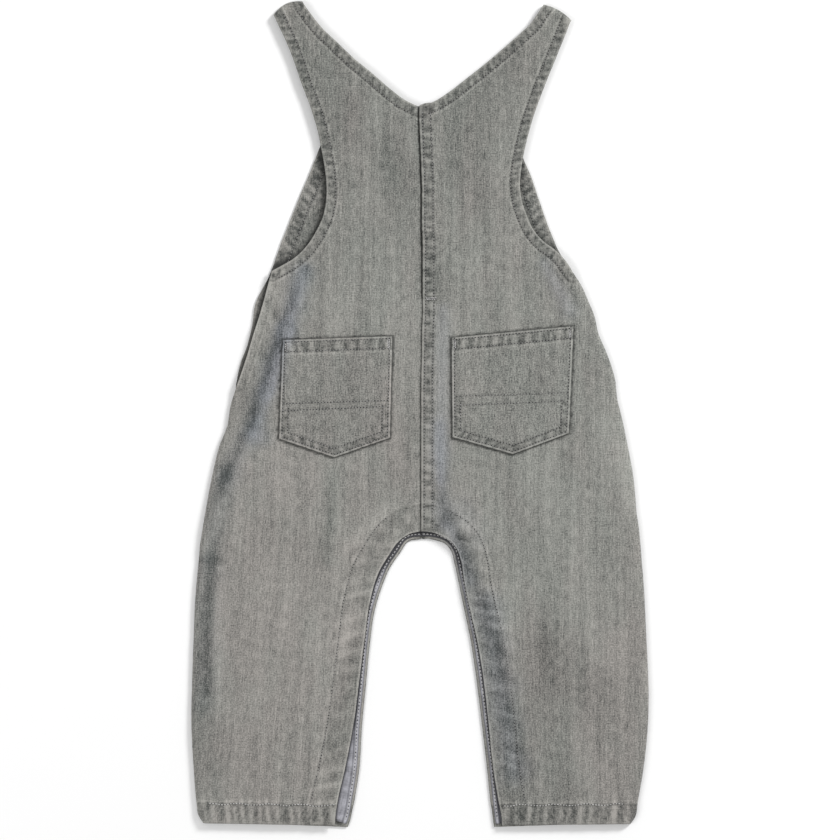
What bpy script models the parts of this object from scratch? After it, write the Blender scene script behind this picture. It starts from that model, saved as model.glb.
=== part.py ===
"""Baby overalls for about nine months, laid flat face down: the back is up, the straps point along +Y.

Each piece is one wall of cloth. The back halves are lofts of sections, from the leg hem to the shoulder,
round the shoulder fold and on under it to the bib. The front halves lie flat beneath them on Z = 0.
All sizes in the tables are millimetres. The origin is at the middle of the outline, on the surface below.
"""

import math
from collections import namedtuple

import bmesh
import bpy
from mathutils import Vector

MM = 0.001

# Cloth and the layers it lies in, bottom to top
WALL = 1.0
SEAM_GAP = 0.3
FRONT_FACE = 0.0
INNER_STRIP_TOP = FRONT_FACE + WALL + SEAM_GAP + WALL
BACK_TOP = 3.7
POCKET_CLEARANCE = 0.45

# Turned and stitched edges
BAND = 6.2
BAND_RISE = 0.35
BAND_STEP = 1.2
PLACKET_BAND_RISE = 0.6
POCKET_HEM = 8.6
POCKET_HEM_RISE = 0.4

# The side seam: the back's edge rolls down over the front's edge
ROLL_REACH = 3.5
ROLL_ANGLES = (0, 32, 62, 90)
ROLL_RIM = 0.35
SIDE_INSET = 1.6

# The shoulder fold
FOLD_ANGLES = (25, 55, 90, 125, 155, 180)
FOLD_RADIUS = BACK_TOP / 2

# How finely the walls are divided
CELL = 11.0
BACK_COLUMNS = 6
FRONT_COLUMNS = 4
UNDER_STRAP_ROWS = 6
POCKET_CELLS = 9

# Kinds of edge
SIDE, OPEN, ARMHOLE, FOLD = "side", "open", "armhole", "fold"
INSEAM, CENTRE, NECK = "inseam", "centre", "neck"

# One station of a leg and the body: the side seam, the back's inner edge and the front's inner edge
Station = namedtuple("Station", "side_x side_y back_x back_y front_x front_y inner")

LEFT_BODY = (
    Station(-139.0, -262.0, -54.5, -263.4, -46.5, -264.5, INSEAM),
    Station(-142.0, -257.0, -54.0, -256.5, -44.0, -256.5, INSEAM),
    Station(-143.2, -249.0, -53.0, -249.5, -42.5, -248.0, INSEAM),
    Station(-145.0, -227.0, -48.0, -227.0, -39.5, -229.0, INSEAM),
    Station(-146.5, -195.0, -42.0, -195.0, -37.5, -199.0, INSEAM),
    Station(-146.0, -171.5, -39.0, -171.5, -35.0, -173.0, INSEAM),
    Station(-145.0, -143.0, -35.5, -144.5, -32.5, -147.0, INSEAM),
    Station(-144.0, -118.5, -32.0, -120.0, -29.5, -126.0, INSEAM),
    Station(-142.5, -101.0, -26.0, -100.5, -25.0, -111.0, INSEAM),
    Station(-141.5, -91.0, -20.0, -90.5, -19.5, -98.0, INSEAM),
    Station(-141.0, -84.0, -14.0, -82.0, -13.0, -88.5, INSEAM),
    Station(-140.0, -78.0, -7.0, -77.0, -7.5, -81.0, INSEAM),
    Station(-139.0, -71.5, 0.5, -75.0, 1.0, -79.5, CENTRE),
    Station(-136.5, -57.0, 0.5, -58.0, 1.0, -58.0, CENTRE),
    Station(-133.0, -39.0, 0.5, -41.0, 1.0, -41.0, CENTRE),
    Station(-128.5, -20.5, 0.5, -20.5, 1.0, -20.5, CENTRE),
    Station(-123.5, -7.5, 0.5, -7.0, 1.0, -7.0, CENTRE),
    Station(-121.5, 4.5, 0.5, 5.0, 1.0, 5.0, CENTRE),
)

RIGHT_BODY = (
    Station(135.0, -262.5, 52.5, -263.2, 47.5, -264.5, INSEAM),
    Station(138.0, -258.0, 52.0, -256.5, 46.5, -257.0, INSEAM),
    Station(139.5, -249.0, 50.5, -249.0, 45.5, -248.0, INSEAM),
    Station(143.0, -228.5, 47.0, -228.0, 43.5, -228.0, INSEAM),
    Station(146.0, -199.5, 44.0, -199.5, 40.5, -202.0, INSEAM),
    Station(146.5, -182.0, 42.0, -181.0, 38.5, -185.0, INSEAM),
    Station(146.0, -162.5, 39.5, -162.0, 36.0, -165.5, INSEAM),
    Station(145.0, -142.5, 36.0, -142.5, 32.5, -143.0, INSEAM),
    Station(144.0, -121.0, 31.0, -121.0, 28.5, -124.0, INSEAM),
    Station(143.0, -105.0, 28.0, -105.5, 25.0, -107.0, INSEAM),
    Station(142.0, -93.5, 26.0, -93.0, 22.5, -95.5, INSEAM),
    Station(141.5, -86.5, 23.5, -86.5, 20.0, -87.0, INSEAM),
    Station(141.0, -80.5, 20.0, -82.0, 16.0, -82.5, INSEAM),
    Station(140.5, -75.5, 14.5, -78.5, 11.0, -80.5, INSEAM),
    Station(140.0, -71.0, 8.5, -76.0, 6.5, -79.8, INSEAM),
    Station(139.0, -65.0, 0.5, -75.0, 1.0, -79.5, CENTRE),
    Station(138.0, -53.0, 0.5, -58.0, 1.0, -58.0, CENTRE),
    Station(136.5, -39.0, 0.5, -41.0, 1.0, -41.0, CENTRE),
    Station(133.5, -22.5, 0.5, -22.0, 1.0, -22.0, CENTRE),
    Station(129.0, -1.0, 0.5, -1.0, 1.0, -1.0, CENTRE),
    Station(126.5, 9.0, 0.5, 9.0, 1.0, 9.0, CENTRE),
    Station(125.0, 22.0, 0.5, 21.0, 1.0, 21.0, CENTRE),
    Station(119.0, 40.5, 1.0, 40.0, 1.0, 40.0, CENTRE),
    Station(114.5, 51.0, 1.0, 51.5, 1.0, 51.5, CENTRE),
    Station(111.5, 63.5, 1.5, 64.0, 1.0, 64.0, CENTRE),
    Station(108.0, 72.0, 1.5, 73.0, 1.0, 73.0, CENTRE),
    Station(103.5, 82.0, 1.5, 83.0, 1.0, 83.0, CENTRE),
)

# One section above the body: its outer and inner ends and the kind of edge that starts there
Section = namedtuple("Section", "outer_x outer_y inner_x inner_y outer inner")

BACK_LEFT_TOP = (
    Section(-117.0, 19.0, 0.5, 19.0, OPEN, CENTRE),
    Section(-111.0, 36.5, 1.0, 36.5, OPEN, CENTRE),
    Section(-107.0, 50.0, 1.0, 51.5, OPEN, CENTRE),
    Section(-102.5, 64.0, 1.5, 67.0, OPEN, CENTRE),
    Section(-97.5, 82.0, 1.5, 81.0, OPEN, CENTRE),
    Section(-95.0, 91.5, 1.5, 89.0, ARMHOLE, CENTRE),
    Section(-88.5, 95.0, 1.5, 95.0, ARMHOLE, CENTRE),
    Section(-81.0, 99.5, 1.5, 102.5, ARMHOLE, CENTRE),
    Section(-73.5, 106.5, 1.0, 111.5, ARMHOLE, CENTRE),
    Section(-66.5, 117.0, 1.0, 121.5, ARMHOLE, CENTRE),
    Section(-62.0, 127.0, 1.0, 132.0, ARMHOLE, CENTRE),
    Section(-60.0, 138.0, 1.0, 142.5, ARMHOLE, CENTRE),
    Section(-60.0, 149.0, 0.5, 153.5, ARMHOLE, CENTRE),
    Section(-61.5, 160.5, 0.5, 164.5, ARMHOLE, CENTRE),
    Section(-63.5, 171.5, 0.0, 175.0, ARMHOLE, CENTRE),
    Section(-66.0, 183.0, -0.5, 186.0, ARMHOLE, CENTRE),
    Section(-68.5, 191.5, -0.5, 196.5, ARMHOLE, NECK),
    Section(-71.0, 199.0, -10.0, 201.2, ARMHOLE, NECK),
    Section(-73.5, 205.5, -19.0, 208.0, ARMHOLE, NECK),
    Section(-76.0, 212.0, -31.0, 218.4, ARMHOLE, NECK),
    Section(-78.5, 219.5, -42.2, 227.6, ARMHOLE, NECK),
    Section(-82.0, 229.5, -53.3, 238.2, ARMHOLE, NECK),
    Section(-85.5, 238.0, -61.8, 246.2, ARMHOLE, NECK),
    Section(-89.5, 246.5, -68.6, 254.4, ARMHOLE, NECK),
    Section(-93.0, 254.0, -74.5, 262.6, FOLD, FOLD),
)

BACK_RIGHT_TOP = (
    Section(98.0, 90.5, 1.5, 90.5, ARMHOLE, CENTRE),
    Section(94.0, 97.0, 1.5, 96.5, ARMHOLE, CENTRE),
    Section(86.5, 105.0, 1.5, 104.0, ARMHOLE, CENTRE),
    Section(78.5, 111.0, 1.5, 111.5, ARMHOLE, CENTRE),
    Section(72.0, 119.0, 1.0, 119.5, ARMHOLE, CENTRE),
    Section(68.0, 128.0, 1.0, 128.5, ARMHOLE, CENTRE),
    Section(65.3, 136.5, 1.0, 137.5, ARMHOLE, CENTRE),
    Section(64.0, 146.0, 1.0, 147.5, ARMHOLE, CENTRE),
    Section(65.0, 158.0, 0.5, 160.0, ARMHOLE, CENTRE),
    Section(67.5, 171.5, 0.0, 173.5, ARMHOLE, CENTRE),
    Section(70.3, 182.5, -0.5, 185.5, ARMHOLE, CENTRE),
    Section(73.0, 191.5, -0.5, 196.5, ARMHOLE, NECK),
    Section(75.3, 198.0, 9.5, 200.3, ARMHOLE, NECK),
    Section(77.5, 204.0, 18.5, 206.0, ARMHOLE, NECK),
    Section(80.0, 210.5, 29.5, 214.5, ARMHOLE, NECK),
    Section(83.0, 218.0, 44.0, 226.0, ARMHOLE, NECK),
    Section(86.3, 226.0, 54.5, 235.0, ARMHOLE, NECK),
    Section(89.5, 234.0, 63.0, 242.5, ARMHOLE, NECK),
    Section(92.8, 242.0, 71.2, 250.3, ARMHOLE, NECK),
    Section(96.0, 250.5, 78.3, 260.6, FOLD, FOLD),
)

FRONT_LEFT_TOP = (
    Section(-117.5, 19.0, 1.0, 19.0, OPEN, CENTRE),
    Section(-114.5, 32.5, 1.0, 33.0, OPEN, CENTRE),
    Section(-110.5, 43.0, 1.0, 43.0, OPEN, CENTRE),
    Section(-107.5, 55.0, 1.0, 55.0, OPEN, CENTRE),
    Section(-104.5, 72.0, 1.0, 72.0, OPEN, CENTRE),
    Section(-99.5, 82.0, 1.0, 82.0, OPEN, CENTRE),
    Section(-94.5, 93.5, 1.0, 93.5, ARMHOLE, CENTRE),
    Section(-87.0, 114.0, 1.0, 114.0, ARMHOLE, CENTRE),
    Section(-80.3, 131.0, 1.0, 131.0, ARMHOLE, CENTRE),
    Section(-72.0, 150.5, 1.0, 150.5, ARMHOLE, CENTRE),
    Section(-64.0, 171.0, 1.0, 171.0, ARMHOLE, CENTRE),
    Section(-55.5, 191.0, 1.0, 191.0, ARMHOLE, CENTRE),
)

FRONT_RIGHT_TOP = (
    Section(96.3, 90.5, 1.0, 90.5, ARMHOLE, CENTRE),
    Section(88.5, 105.0, 1.0, 105.0, ARMHOLE, CENTRE),
    Section(81.5, 121.5, 1.0, 121.5, ARMHOLE, CENTRE),
    Section(76.5, 136.0, 1.0, 136.0, ARMHOLE, CENTRE),
    Section(72.0, 149.0, 1.0, 149.0, ARMHOLE, CENTRE),
    Section(67.0, 161.5, 1.0, 161.5, ARMHOLE, CENTRE),
    Section(54.5, 191.0, 1.0, 191.0, ARMHOLE, CENTRE),
)

# Where each folded strap ends on the bib's top edge, and how far its fold bows out
Strap = namedtuple("Strap", "outer_x inner_x bib_y fold_bow")
LEFT_STRAP = Strap(-55.5, -32.5, 191.3, 3.9)
RIGHT_STRAP = Strap(54.5, 30.0, 191.3, 2.2)

# Folds and soft mounds of the back: a line, the half width across it and its height
Relief = namedtuple("Relief", "x0 y0 x1 y1 half_width height")
BACK_RELIEF = (
    Relief(-95.0, -80.0, -97.0, -225.0, 34.0, 1.1),
    Relief(98.0, -80.0, 95.0, -225.0, 34.0, 1.1),
    Relief(-55.0, 15.0, 55.0, 15.0, 42.0, 0.7),
    Relief(0.0, 110.0, 0.0, 160.0, 34.0, 0.5),
    Relief(-76.0, 84.0, -97.0, 16.0, 9.0, 0.9),
    Relief(-99.0, 10.0, -130.0, -72.0, 10.0, 1.0),
    Relief(-134.0, -100.0, -135.0, -185.0, 9.0, -0.7),
    Relief(82.0, 92.0, 99.0, 62.0, 8.0, 0.7),
    Relief(30.0, -92.0, 62.0, -205.0, 9.0, -0.6),
    Relief(-62.0, -80.0, -24.0, -66.0, 9.0, 0.6),
    Relief(62.0, -92.0, 26.0, -70.0, 9.0, 0.6),
)
MOST_RELIEF = 2.0

# A pocket: its top corners, its lower corners and the point below them
Pocket = namedtuple("Pocket", "side_top centre_top centre_low point side_low")
LEFT_POCKET = Pocket((-88.0, 47.5), (-17.5, 50.0), (-19.0, -15.5), (-55.0, -28.0), (-90.5, -16.0))
RIGHT_POCKET = Pocket((98.5, 56.5), (20.0, 49.0), (20.5, -15.0), (59.5, -26.0), (95.5, -12.5))

# The strip under the back opening, and the facing strips along the inseams
UNDERLAP_COLUMNS = (-5.0, 4.0, 13.0)
UNDERLAP_LOW, UNDERLAP_HIGH = 70.0, 199.3
UNDERLAP_ROWS = 8
FACING_SETBACK = 1.2
FACING_WIDTH = 14.0
FACING_END = 1.5

# Colours as linear values, and the finish of the cloth
CHAMBRAY_LIGHT = (0.26, 0.25, 0.235, 1.0)
CHAMBRAY_DARK = (0.22, 0.22, 0.205, 1.0)
FACING_COLOUR = (0.36, 0.36, 0.40, 1.0)
CLOTH_ROUGHNESS = 0.9


def relief_at(x, y):
    """Height of the folds and mounds of the back at a point, never below the flat lie."""
    total = 0.0
    for fold in BACK_RELIEF:
        along = Vector((fold.x1 - fold.x0, fold.y1 - fold.y0))
        offset = Vector((x - fold.x0, y - fold.y0))
        reach = min(max(offset.dot(along) / along.length_squared, 0.0), 1.0)
        away = (offset - along * reach).length / fold.half_width
        total += fold.height * math.exp(-away * away)
    return min(max(total, 0.0), MOST_RELIEF)


def back_top_at(x, y):
    return BACK_TOP + relief_at(x, y)


def smooth_edge(points, corners, counts):
    """A smooth line through the points, straight into each corner, with counts[i] steps from point i."""
    tangents = []
    for i, point in enumerate(points):
        before = points[i - 1] if i else None
        after = points[i + 1] if i + 1 < len(points) else None
        tangents.append((before, point, after))
    line = []
    for i, steps in enumerate(counts):
        start, end = points[i], points[i + 1]
        chord = end - start
        leave = chord if i == 0 or corners[i] else through(tangents[i], chord.length)
        arrive = chord if i + 2 == len(points) or corners[i + 1] else through(tangents[i + 1], chord.length)
        for step in range(steps):
            line.append(hermite(start, end, leave, arrive, step / steps))
    line.append(points[-1].copy())
    return line


def through(three, length):
    """The line's direction at the middle one of three points, for a stretch of that length."""
    before, point, after = three
    first, second = point - before, after - point
    a, b = first.length, second.length
    return (first / a * b + second / b * a) / (a + b) * length


def hermite(start, end, leave, arrive, t):
    t2, t3 = t * t, t * t * t
    return (
        start * (2 * t3 - 3 * t2 + 1)
        + leave * (t3 - 2 * t2 + t)
        + end * (3 * t2 - 2 * t3)
        + arrive * (t3 - t2)
    )


def changes(kinds):
    return [i > 0 and kinds[i] != kinds[i - 1] for i in range(len(kinds))]


def spread(values, counts):
    """Values at the rows, spread evenly over the steps between them."""
    out = []
    for i, steps in enumerate(counts):
        out += [values[i] + (values[i + 1] - values[i]) * step / steps for step in range(steps)]
    return out + [values[-1]]


def stretch(sections, side):
    """The sections of a panel, worked out finely: a list of rows from the hem up."""
    outer = [Vector((s.outer_x, s.outer_y)) for s in sections]
    inner = [Vector((s.inner_x, s.inner_y)) for s in sections]
    counts = []
    for i in range(len(sections) - 1):
        longest = max((outer[i + 1] - outer[i]).length, (inner[i + 1] - inner[i]).length)
        counts.append(max(1, math.ceil(longest / CELL)))
    outer_kinds = [s.outer for s in sections]
    inner_kinds = [s.inner for s in sections]
    outer_line = smooth_edge(outer, changes(outer_kinds), counts)
    inner_line = smooth_edge(inner, changes(inner_kinds), counts)
    centre = spread([float(kind == CENTRE) for kind in inner_kinds], counts)
    for point, share in zip(inner_line, centre):
        if share == 1.0:
            point.x += side * SEAM_GAP / 2
    return {
        "outer": outer_line,
        "inner": inner_line,
        "roll": spread([float(kind == SIDE) for kind in outer_kinds], counts),
        "armhole": spread([float(kind == ARMHOLE) for kind in outer_kinds], counts),
        "neck": spread([float(kind == NECK) for kind in inner_kinds], counts),
        "centre": centre,
        "inseam": spread([float(kind == INSEAM) for kind in inner_kinds], counts),
    }


def band_share(distance):
    """1 on a turned edge's band, 0 past it."""
    return min(max((BAND + BAND_STEP / 2 - distance) / BAND_STEP, 0.0), 1.0)


def back_columns(width):
    """Distances from the outer edge at which a section of the back has its points."""
    roll = [ROLL_REACH * (1 - math.cos(math.radians(angle))) for angle in ROLL_ANGLES]
    near = BAND - BAND_STEP / 2
    far = BAND + BAND_STEP / 2
    run = width - 2 * far
    middle = [far + run * i / (BACK_COLUMNS + 1) for i in range(1, BACK_COLUMNS + 1)]
    return roll + [near, far] + middle + [width - far, width - near, width]


def back_row(rows, i, side):
    outer, inner = rows["outer"][i], rows["inner"][i]
    width = (inner - outer).length
    line = []
    for column, distance in enumerate(back_columns(width)):
        flat = outer + (inner - outer) * (distance / width)
        height = back_top_at(flat.x, flat.y)
        height += BAND_RISE * rows["armhole"][i] * band_share(distance)
        height += BAND_RISE * rows["neck"][i] * band_share(width - distance)
        if side > 0:
            height += PLACKET_BAND_RISE * rows["centre"][i] * band_share(width - distance)
        if column < len(ROLL_ANGLES):
            rise = math.sin(math.radians(ROLL_ANGLES[column]))
            rolled = ROLL_RIM + (height - ROLL_RIM) * rise
            height += (rolled - height) * rows["roll"][i]
        line.append(Vector((flat.x, flat.y, height)))
    return line


def shoulder_rows(last, side, strap):
    """From the last section of the back, round the shoulder fold and under it to the bib."""
    outer, inner = last[0].xy, last[-1].xy
    chord = inner - outer
    beyond = Vector((chord.y, -chord.x)).normalized() * side
    shares = [(point.xy - outer).length / chord.length for point in last]
    bows = [4 * share * (1 - share) * strap.fold_bow for share in shares]
    lines = []
    for angle in FOLD_ANGLES:
        turn = math.radians(angle)
        out = FOLD_RADIUS * math.sin(turn)
        height = FOLD_RADIUS * (1 + math.cos(turn))
        lines.append([
            Vector((*(point.xy + beyond * (out + bow * math.sin(turn / 2))), height))
            for point, bow in zip(last, bows)
        ])
    for row in range(1, UNDER_STRAP_ROWS + 1):
        share = row / UNDER_STRAP_ROWS
        start = outer.lerp(Vector((strap.outer_x, strap.bib_y)), share)
        end = inner.lerp(Vector((strap.inner_x, strap.bib_y)), share)
        lines.append([
            Vector((*(start.lerp(end, across) + beyond * bow * (1 - share)), FRONT_FACE))
            for across, bow in zip(shares, bows)
        ])
    return lines


def sheet_object(name, lines, faces_up, colour):
    """An open sheet through the lines of points, thickened away from its outer face."""
    mesh = bpy.data.meshes.new(name)
    shape = bmesh.new()
    grid = [[shape.verts.new(point * MM) for point in line] for line in lines]
    for low, high in zip(grid, grid[1:]):
        for k in range(len(low) - 1):
            shape.faces.new((low[k], low[k + 1], high[k + 1], high[k]))
    bmesh.ops.recalc_face_normals(shape, faces=shape.faces[:])
    shape.faces.ensure_lookup_table()
    if (shape.faces[0].normal.z > 0) != faces_up:
        bmesh.ops.reverse_faces(shape, faces=shape.faces[:])
    shape.to_mesh(mesh)
    shape.free()
    mesh.shade_smooth()
    mesh.materials.append(cloth_material(name, colour))
    piece = bpy.data.objects.new(name, mesh)
    PIECES.objects.link(piece)
    wall = piece.modifiers.new("wall", "SOLIDIFY")
    wall.thickness = WALL * MM
    wall.offset = -1.0
    return piece


def cloth_material(name, colour):
    material = bpy.data.materials.new(name + "_cloth")
    material.use_nodes = True
    shader = material.node_tree.nodes["Principled BSDF"]
    shader.inputs["Base Color"].default_value = colour
    shader.inputs["Roughness"].default_value = CLOTH_ROUGHNESS
    shader.inputs["Metallic"].default_value = 0.0
    material.diffuse_color = colour
    return material


def back_panel(name, body, top, strap, side):
    sections = [Section(s.side_x, s.side_y, s.back_x, s.back_y, SIDE, s.inner) for s in body]
    rows = stretch(sections + list(top), side)
    lines = [back_row(rows, i, side) for i in range(len(rows["outer"]))]
    lines += shoulder_rows(lines[-1], side, strap)
    sheet_object(name, lines, True, CHAMBRAY_LIGHT)


def front_rows(body, top, side):
    """The front's rows: at the side seam they are set in from the back's edge, which rolls over them."""
    sections = [Section(s.side_x, s.side_y, s.front_x, s.front_y, SIDE, s.inner) for s in body]
    rows = stretch(sections + list(top), side)
    outer = rows["outer"]
    inset = []
    for i, point in enumerate(outer):
        along = (outer[min(i + 1, len(outer) - 1)] - outer[max(i - 1, 0)]).normalized()
        inward = Vector((along.y, -along.x)) * -side
        inset.append(point + inward * SIDE_INSET * rows["roll"][i])
    rows["outer"] = inset
    return rows


def front_panel(name, rows):
    lines = []
    for outer, inner in zip(rows["outer"], rows["inner"]):
        steps = [k / FRONT_COLUMNS for k in range(FRONT_COLUMNS + 1)]
        lines.append([outer.lerp(inner, step).to_3d() + Vector((0, 0, FRONT_FACE)) for step in steps])
    sheet_object(name, lines, False, CHAMBRAY_LIGHT)


def inseam_facing(name, rows, side):
    """A strip that follows the front's inseam edge from just above the hem to the crotch."""
    edge = [point.copy() for point, share in zip(rows["inner"], rows["inseam"]) if share == 1.0]
    crotch = rows["inner"][len(edge)].copy()
    edge.append(crotch)
    hem_direction = (edge[1] - edge[0]).normalized()
    edge[0] = edge[0] + hem_direction * FACING_END
    lines = []
    for i, point in enumerate(edge):
        along = (edge[min(i + 1, len(edge) - 1)] - edge[max(i - 1, 0)]).normalized()
        into = Vector((along.y, -along.x)) * side
        if i == len(edge) - 1:
            into = Vector((0.0, 1.0))
        near = point + into * FACING_SETBACK
        far = point + into * (FACING_SETBACK + FACING_WIDTH)
        lines.append([near.lerp(far, share).to_3d() + Vector((0, 0, INNER_STRIP_TOP)) for share in (0, 0.5, 1)])
    sheet_object(name, lines, True, FACING_COLOUR)


def placket_underlap():
    lines = []
    for row in range(UNDERLAP_ROWS + 1):
        y = UNDERLAP_LOW + (UNDERLAP_HIGH - UNDERLAP_LOW) * row / UNDERLAP_ROWS
        lines.append([Vector((x, y, INNER_STRIP_TOP)) for x in UNDERLAP_COLUMNS])
    sheet_object("placket_underlap", lines, True, CHAMBRAY_DARK)


def pocket(name, shape):
    """A patch pocket, laid on the back panel's own surface."""
    side_top, centre_top = Vector(shape.side_top), Vector(shape.centre_top)
    side_low, centre_low = Vector(shape.side_low), Vector(shape.centre_low)
    point = Vector(shape.point)
    width = (centre_top - side_top).length
    split = (point - side_low).length / ((point - side_low).length + (centre_low - point).length)
    lines = []
    for row in range(POCKET_CELLS + 1):
        down = row / POCKET_CELLS
        line = []
        for column in range(POCKET_CELLS + 1):
            across = column / POCKET_CELLS
            top = side_top.lerp(centre_top, across)
            if across < split:
                low = side_low.lerp(point, across / split)
            else:
                low = point.lerp(centre_low, (across - split) / (1 - split))
            depth = (low - top).length
            share = pocket_row_share(down, depth)
            flat = top.lerp(low, share)
            height = back_top_at(flat.x, flat.y) + POCKET_CLEARANCE + WALL
            if down * POCKET_CELLS <= 1.0:
                height += POCKET_HEM_RISE
            line.append(Vector((flat.x, flat.y, height)))
        lines.append(line)
    sheet_object(name, lines, True, CHAMBRAY_DARK)


def pocket_row_share(down, depth):
    """Rows of a pocket: the first is the hem band, and the rest divide what is below it."""
    first = 1 / POCKET_CELLS
    if down <= first:
        return down / first * POCKET_HEM / depth
    return (POCKET_HEM + (depth - POCKET_HEM) * (down - first) / (1 - first)) / depth


def clear_scene():
    for thing in list(bpy.context.scene.objects):
        bpy.data.objects.remove(thing, do_unlink=True)


clear_scene()
PIECES = bpy.data.collections.new("baby_overalls")
bpy.context.scene.collection.children.link(PIECES)

back_panel("back_left", LEFT_BODY, BACK_LEFT_TOP, LEFT_STRAP, -1)
back_panel("back_right", RIGHT_BODY, BACK_RIGHT_TOP, RIGHT_STRAP, 1)
left_front = front_rows(LEFT_BODY, FRONT_LEFT_TOP, -1)
right_front = front_rows(RIGHT_BODY, FRONT_RIGHT_TOP, 1)
front_panel("front_left", left_front)
front_panel("front_right", right_front)
inseam_facing("inseam_facing_left", left_front, -1)
inseam_facing("inseam_facing_right", right_front, 1)
placket_underlap()
pocket("back_pocket_left", LEFT_POCKET)
pocket("back_pocket_right", RIGHT_POCKET)
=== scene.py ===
"""Looks of the baby overalls, laid flat with the back up: washed grey chambray and topstitching.

Each panel is a thin fine shell on the form of its solid. Sizes in the tables are millimetres, and +Y points
to the shoulders. Heights come from one function for each panel, which its shell and its stitches share.
"""

import math
from collections import namedtuple

import bpy
import numpy as np
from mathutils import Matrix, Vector


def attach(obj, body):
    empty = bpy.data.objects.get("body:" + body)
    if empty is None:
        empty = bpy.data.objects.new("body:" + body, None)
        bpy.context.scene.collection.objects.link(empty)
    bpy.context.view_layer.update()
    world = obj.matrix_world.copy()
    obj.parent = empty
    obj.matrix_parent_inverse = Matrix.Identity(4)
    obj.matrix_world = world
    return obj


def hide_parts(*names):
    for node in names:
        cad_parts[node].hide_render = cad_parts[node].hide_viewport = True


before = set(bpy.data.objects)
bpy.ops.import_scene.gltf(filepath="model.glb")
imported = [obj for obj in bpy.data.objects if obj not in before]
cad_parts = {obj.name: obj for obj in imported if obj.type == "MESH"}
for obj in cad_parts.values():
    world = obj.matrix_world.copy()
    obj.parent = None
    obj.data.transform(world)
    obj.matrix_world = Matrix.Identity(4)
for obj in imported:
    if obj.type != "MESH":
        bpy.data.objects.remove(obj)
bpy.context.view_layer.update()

MM = 0.001

# Layers of the garment, bottom to top, as in the solids
CLOTH = 0.8
INNER_STRIP_TOP = 2.3
BACK_TOP = 3.7
SEAM_GAP = 0.3
POCKET_LIFT = 1.3

# Side seam roll and shoulder fold, as in the solids
ROLL_REACH = 3.5
ROLL_RIM = 0.35
SIDE_INSET = 1.6
FOLD_STEPS = 12
FOLD_RADIUS = BACK_TOP / 2
UNDER_STRAP_STEPS = 42

# Fineness of the shells
BACK_ROW = 1.3
FRONT_ROW = 1.9
EDGE_COLUMNS = (0.0, 0.25, 0.8, 1.4, 2.0, 2.7, 3.6, 4.6, 5.4, 6.0, 6.6, 7.2, 7.8, 8.8)
BACK_MIDDLE_COLUMNS = 60
FRONT_MIDDLE_COLUMNS = 34

# Turned bands: their width, the stitch line from the edge, their rise, the height, spacing and slant of
# their puckers, how much darker the band is, how much its ridges are worn pale and lit in paint while
# its hollows take painted shade, and how dark the painted shade is in the patches between its wide puckers
Band = namedtuple("Band", "width stitch rise pucker spacing slant dark worn patch")
STRAP_BAND = Band(6.4, 6.0, 0.35, 0.42, (3.4, 6.8), 0.35, 0.34, 0.5, 0.0)
OPENING_BAND = Band(5.0, 4.6, 0.1, 0.4, (4.0, 8.0), 0.5, 0.0, 0.25, 0.0)
HEM_BAND = Band(13.4, 12.6, 0.35, 0.6, (4.6, 9.6), 0.12, 0.24, 0.62, 0.0)
INSEAM_BAND = Band(17.0, 16.6, 0.1, 0.4, (8.0, 15.0), 0.45, 0.03, 0.25, 0.5)
BIB_BAND = Band(8.6, 8.0, 0.35, 0.5, (3.8, 7.0), 0.4, 0.15, 0.7, 0.0)
PATCH_SPACING = (9.5, 15.5)
EDGE_ROUND = 1.0
EDGE_DROP = 0.4

# The centre band of the back, between two rows of topstitching
CENTRE_BAND = 8.4
CENTRE_ROWS = (2.0, 7.2)

# Stitching: threads of the cloth's tone, with a dark bead of painted shade for the needle hole between one
# and the next
STITCH_PITCH = 2.0
STITCH_LENGTH = 1.3
THREAD = 0.45
HOLE_LENGTH = 0.95
HOLE_WIDTH = 0.9
STITCH_LIFT = 0.03

# The front lies pressed: the height of its inner face, and the share of its relief that is left
FRONT_LIFT = 0.55
PRESSED = 0.55
UNDER_STITCH_LIFT = 0.02

# Kinds of edge
SIDE, OPEN, ARMHOLE, FOLD = "side", "open", "armhole", "fold"
INSEAM, CENTRE, NECK = "inseam", "centre", "neck"

# One station of a leg and the body: the side seam, the back's inner edge and the front's inner edge
Station = namedtuple("Station", "side_x side_y back_x back_y front_x front_y inner")

LEFT_BODY = (
    Station(-139.0, -262.0, -54.5, -263.4, -46.5, -264.5, INSEAM),
    Station(-142.0, -257.0, -54.0, -256.5, -44.0, -256.5, INSEAM),
    Station(-143.2, -249.0, -53.0, -249.5, -42.5, -248.0, INSEAM),
    Station(-145.0, -227.0, -48.0, -227.0, -39.5, -229.0, INSEAM),
    Station(-146.5, -195.0, -42.0, -195.0, -37.5, -199.0, INSEAM),
    Station(-146.0, -171.5, -39.0, -171.5, -35.0, -173.0, INSEAM),
    Station(-145.0, -143.0, -35.5, -144.5, -32.5, -147.0, INSEAM),
    Station(-144.0, -118.5, -32.0, -120.0, -29.5, -126.0, INSEAM),
    Station(-142.5, -101.0, -26.0, -100.5, -25.0, -111.0, INSEAM),
    Station(-141.5, -91.0, -20.0, -90.5, -19.5, -98.0, INSEAM),
    Station(-141.0, -84.0, -14.0, -82.0, -13.0, -88.5, INSEAM),
    Station(-140.0, -78.0, -7.0, -77.0, -7.5, -81.0, INSEAM),
    Station(-139.0, -71.5, 0.5, -75.0, 1.0, -79.5, CENTRE),
    Station(-136.5, -57.0, 0.5, -58.0, 1.0, -58.0, CENTRE),
    Station(-133.0, -39.0, 0.5, -41.0, 1.0, -41.0, CENTRE),
    Station(-128.5, -20.5, 0.5, -20.5, 1.0, -20.5, CENTRE),
    Station(-123.5, -7.5, 0.5, -7.0, 1.0, -7.0, CENTRE),
    Station(-121.5, 4.5, 0.5, 5.0, 1.0, 5.0, CENTRE),
)

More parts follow.
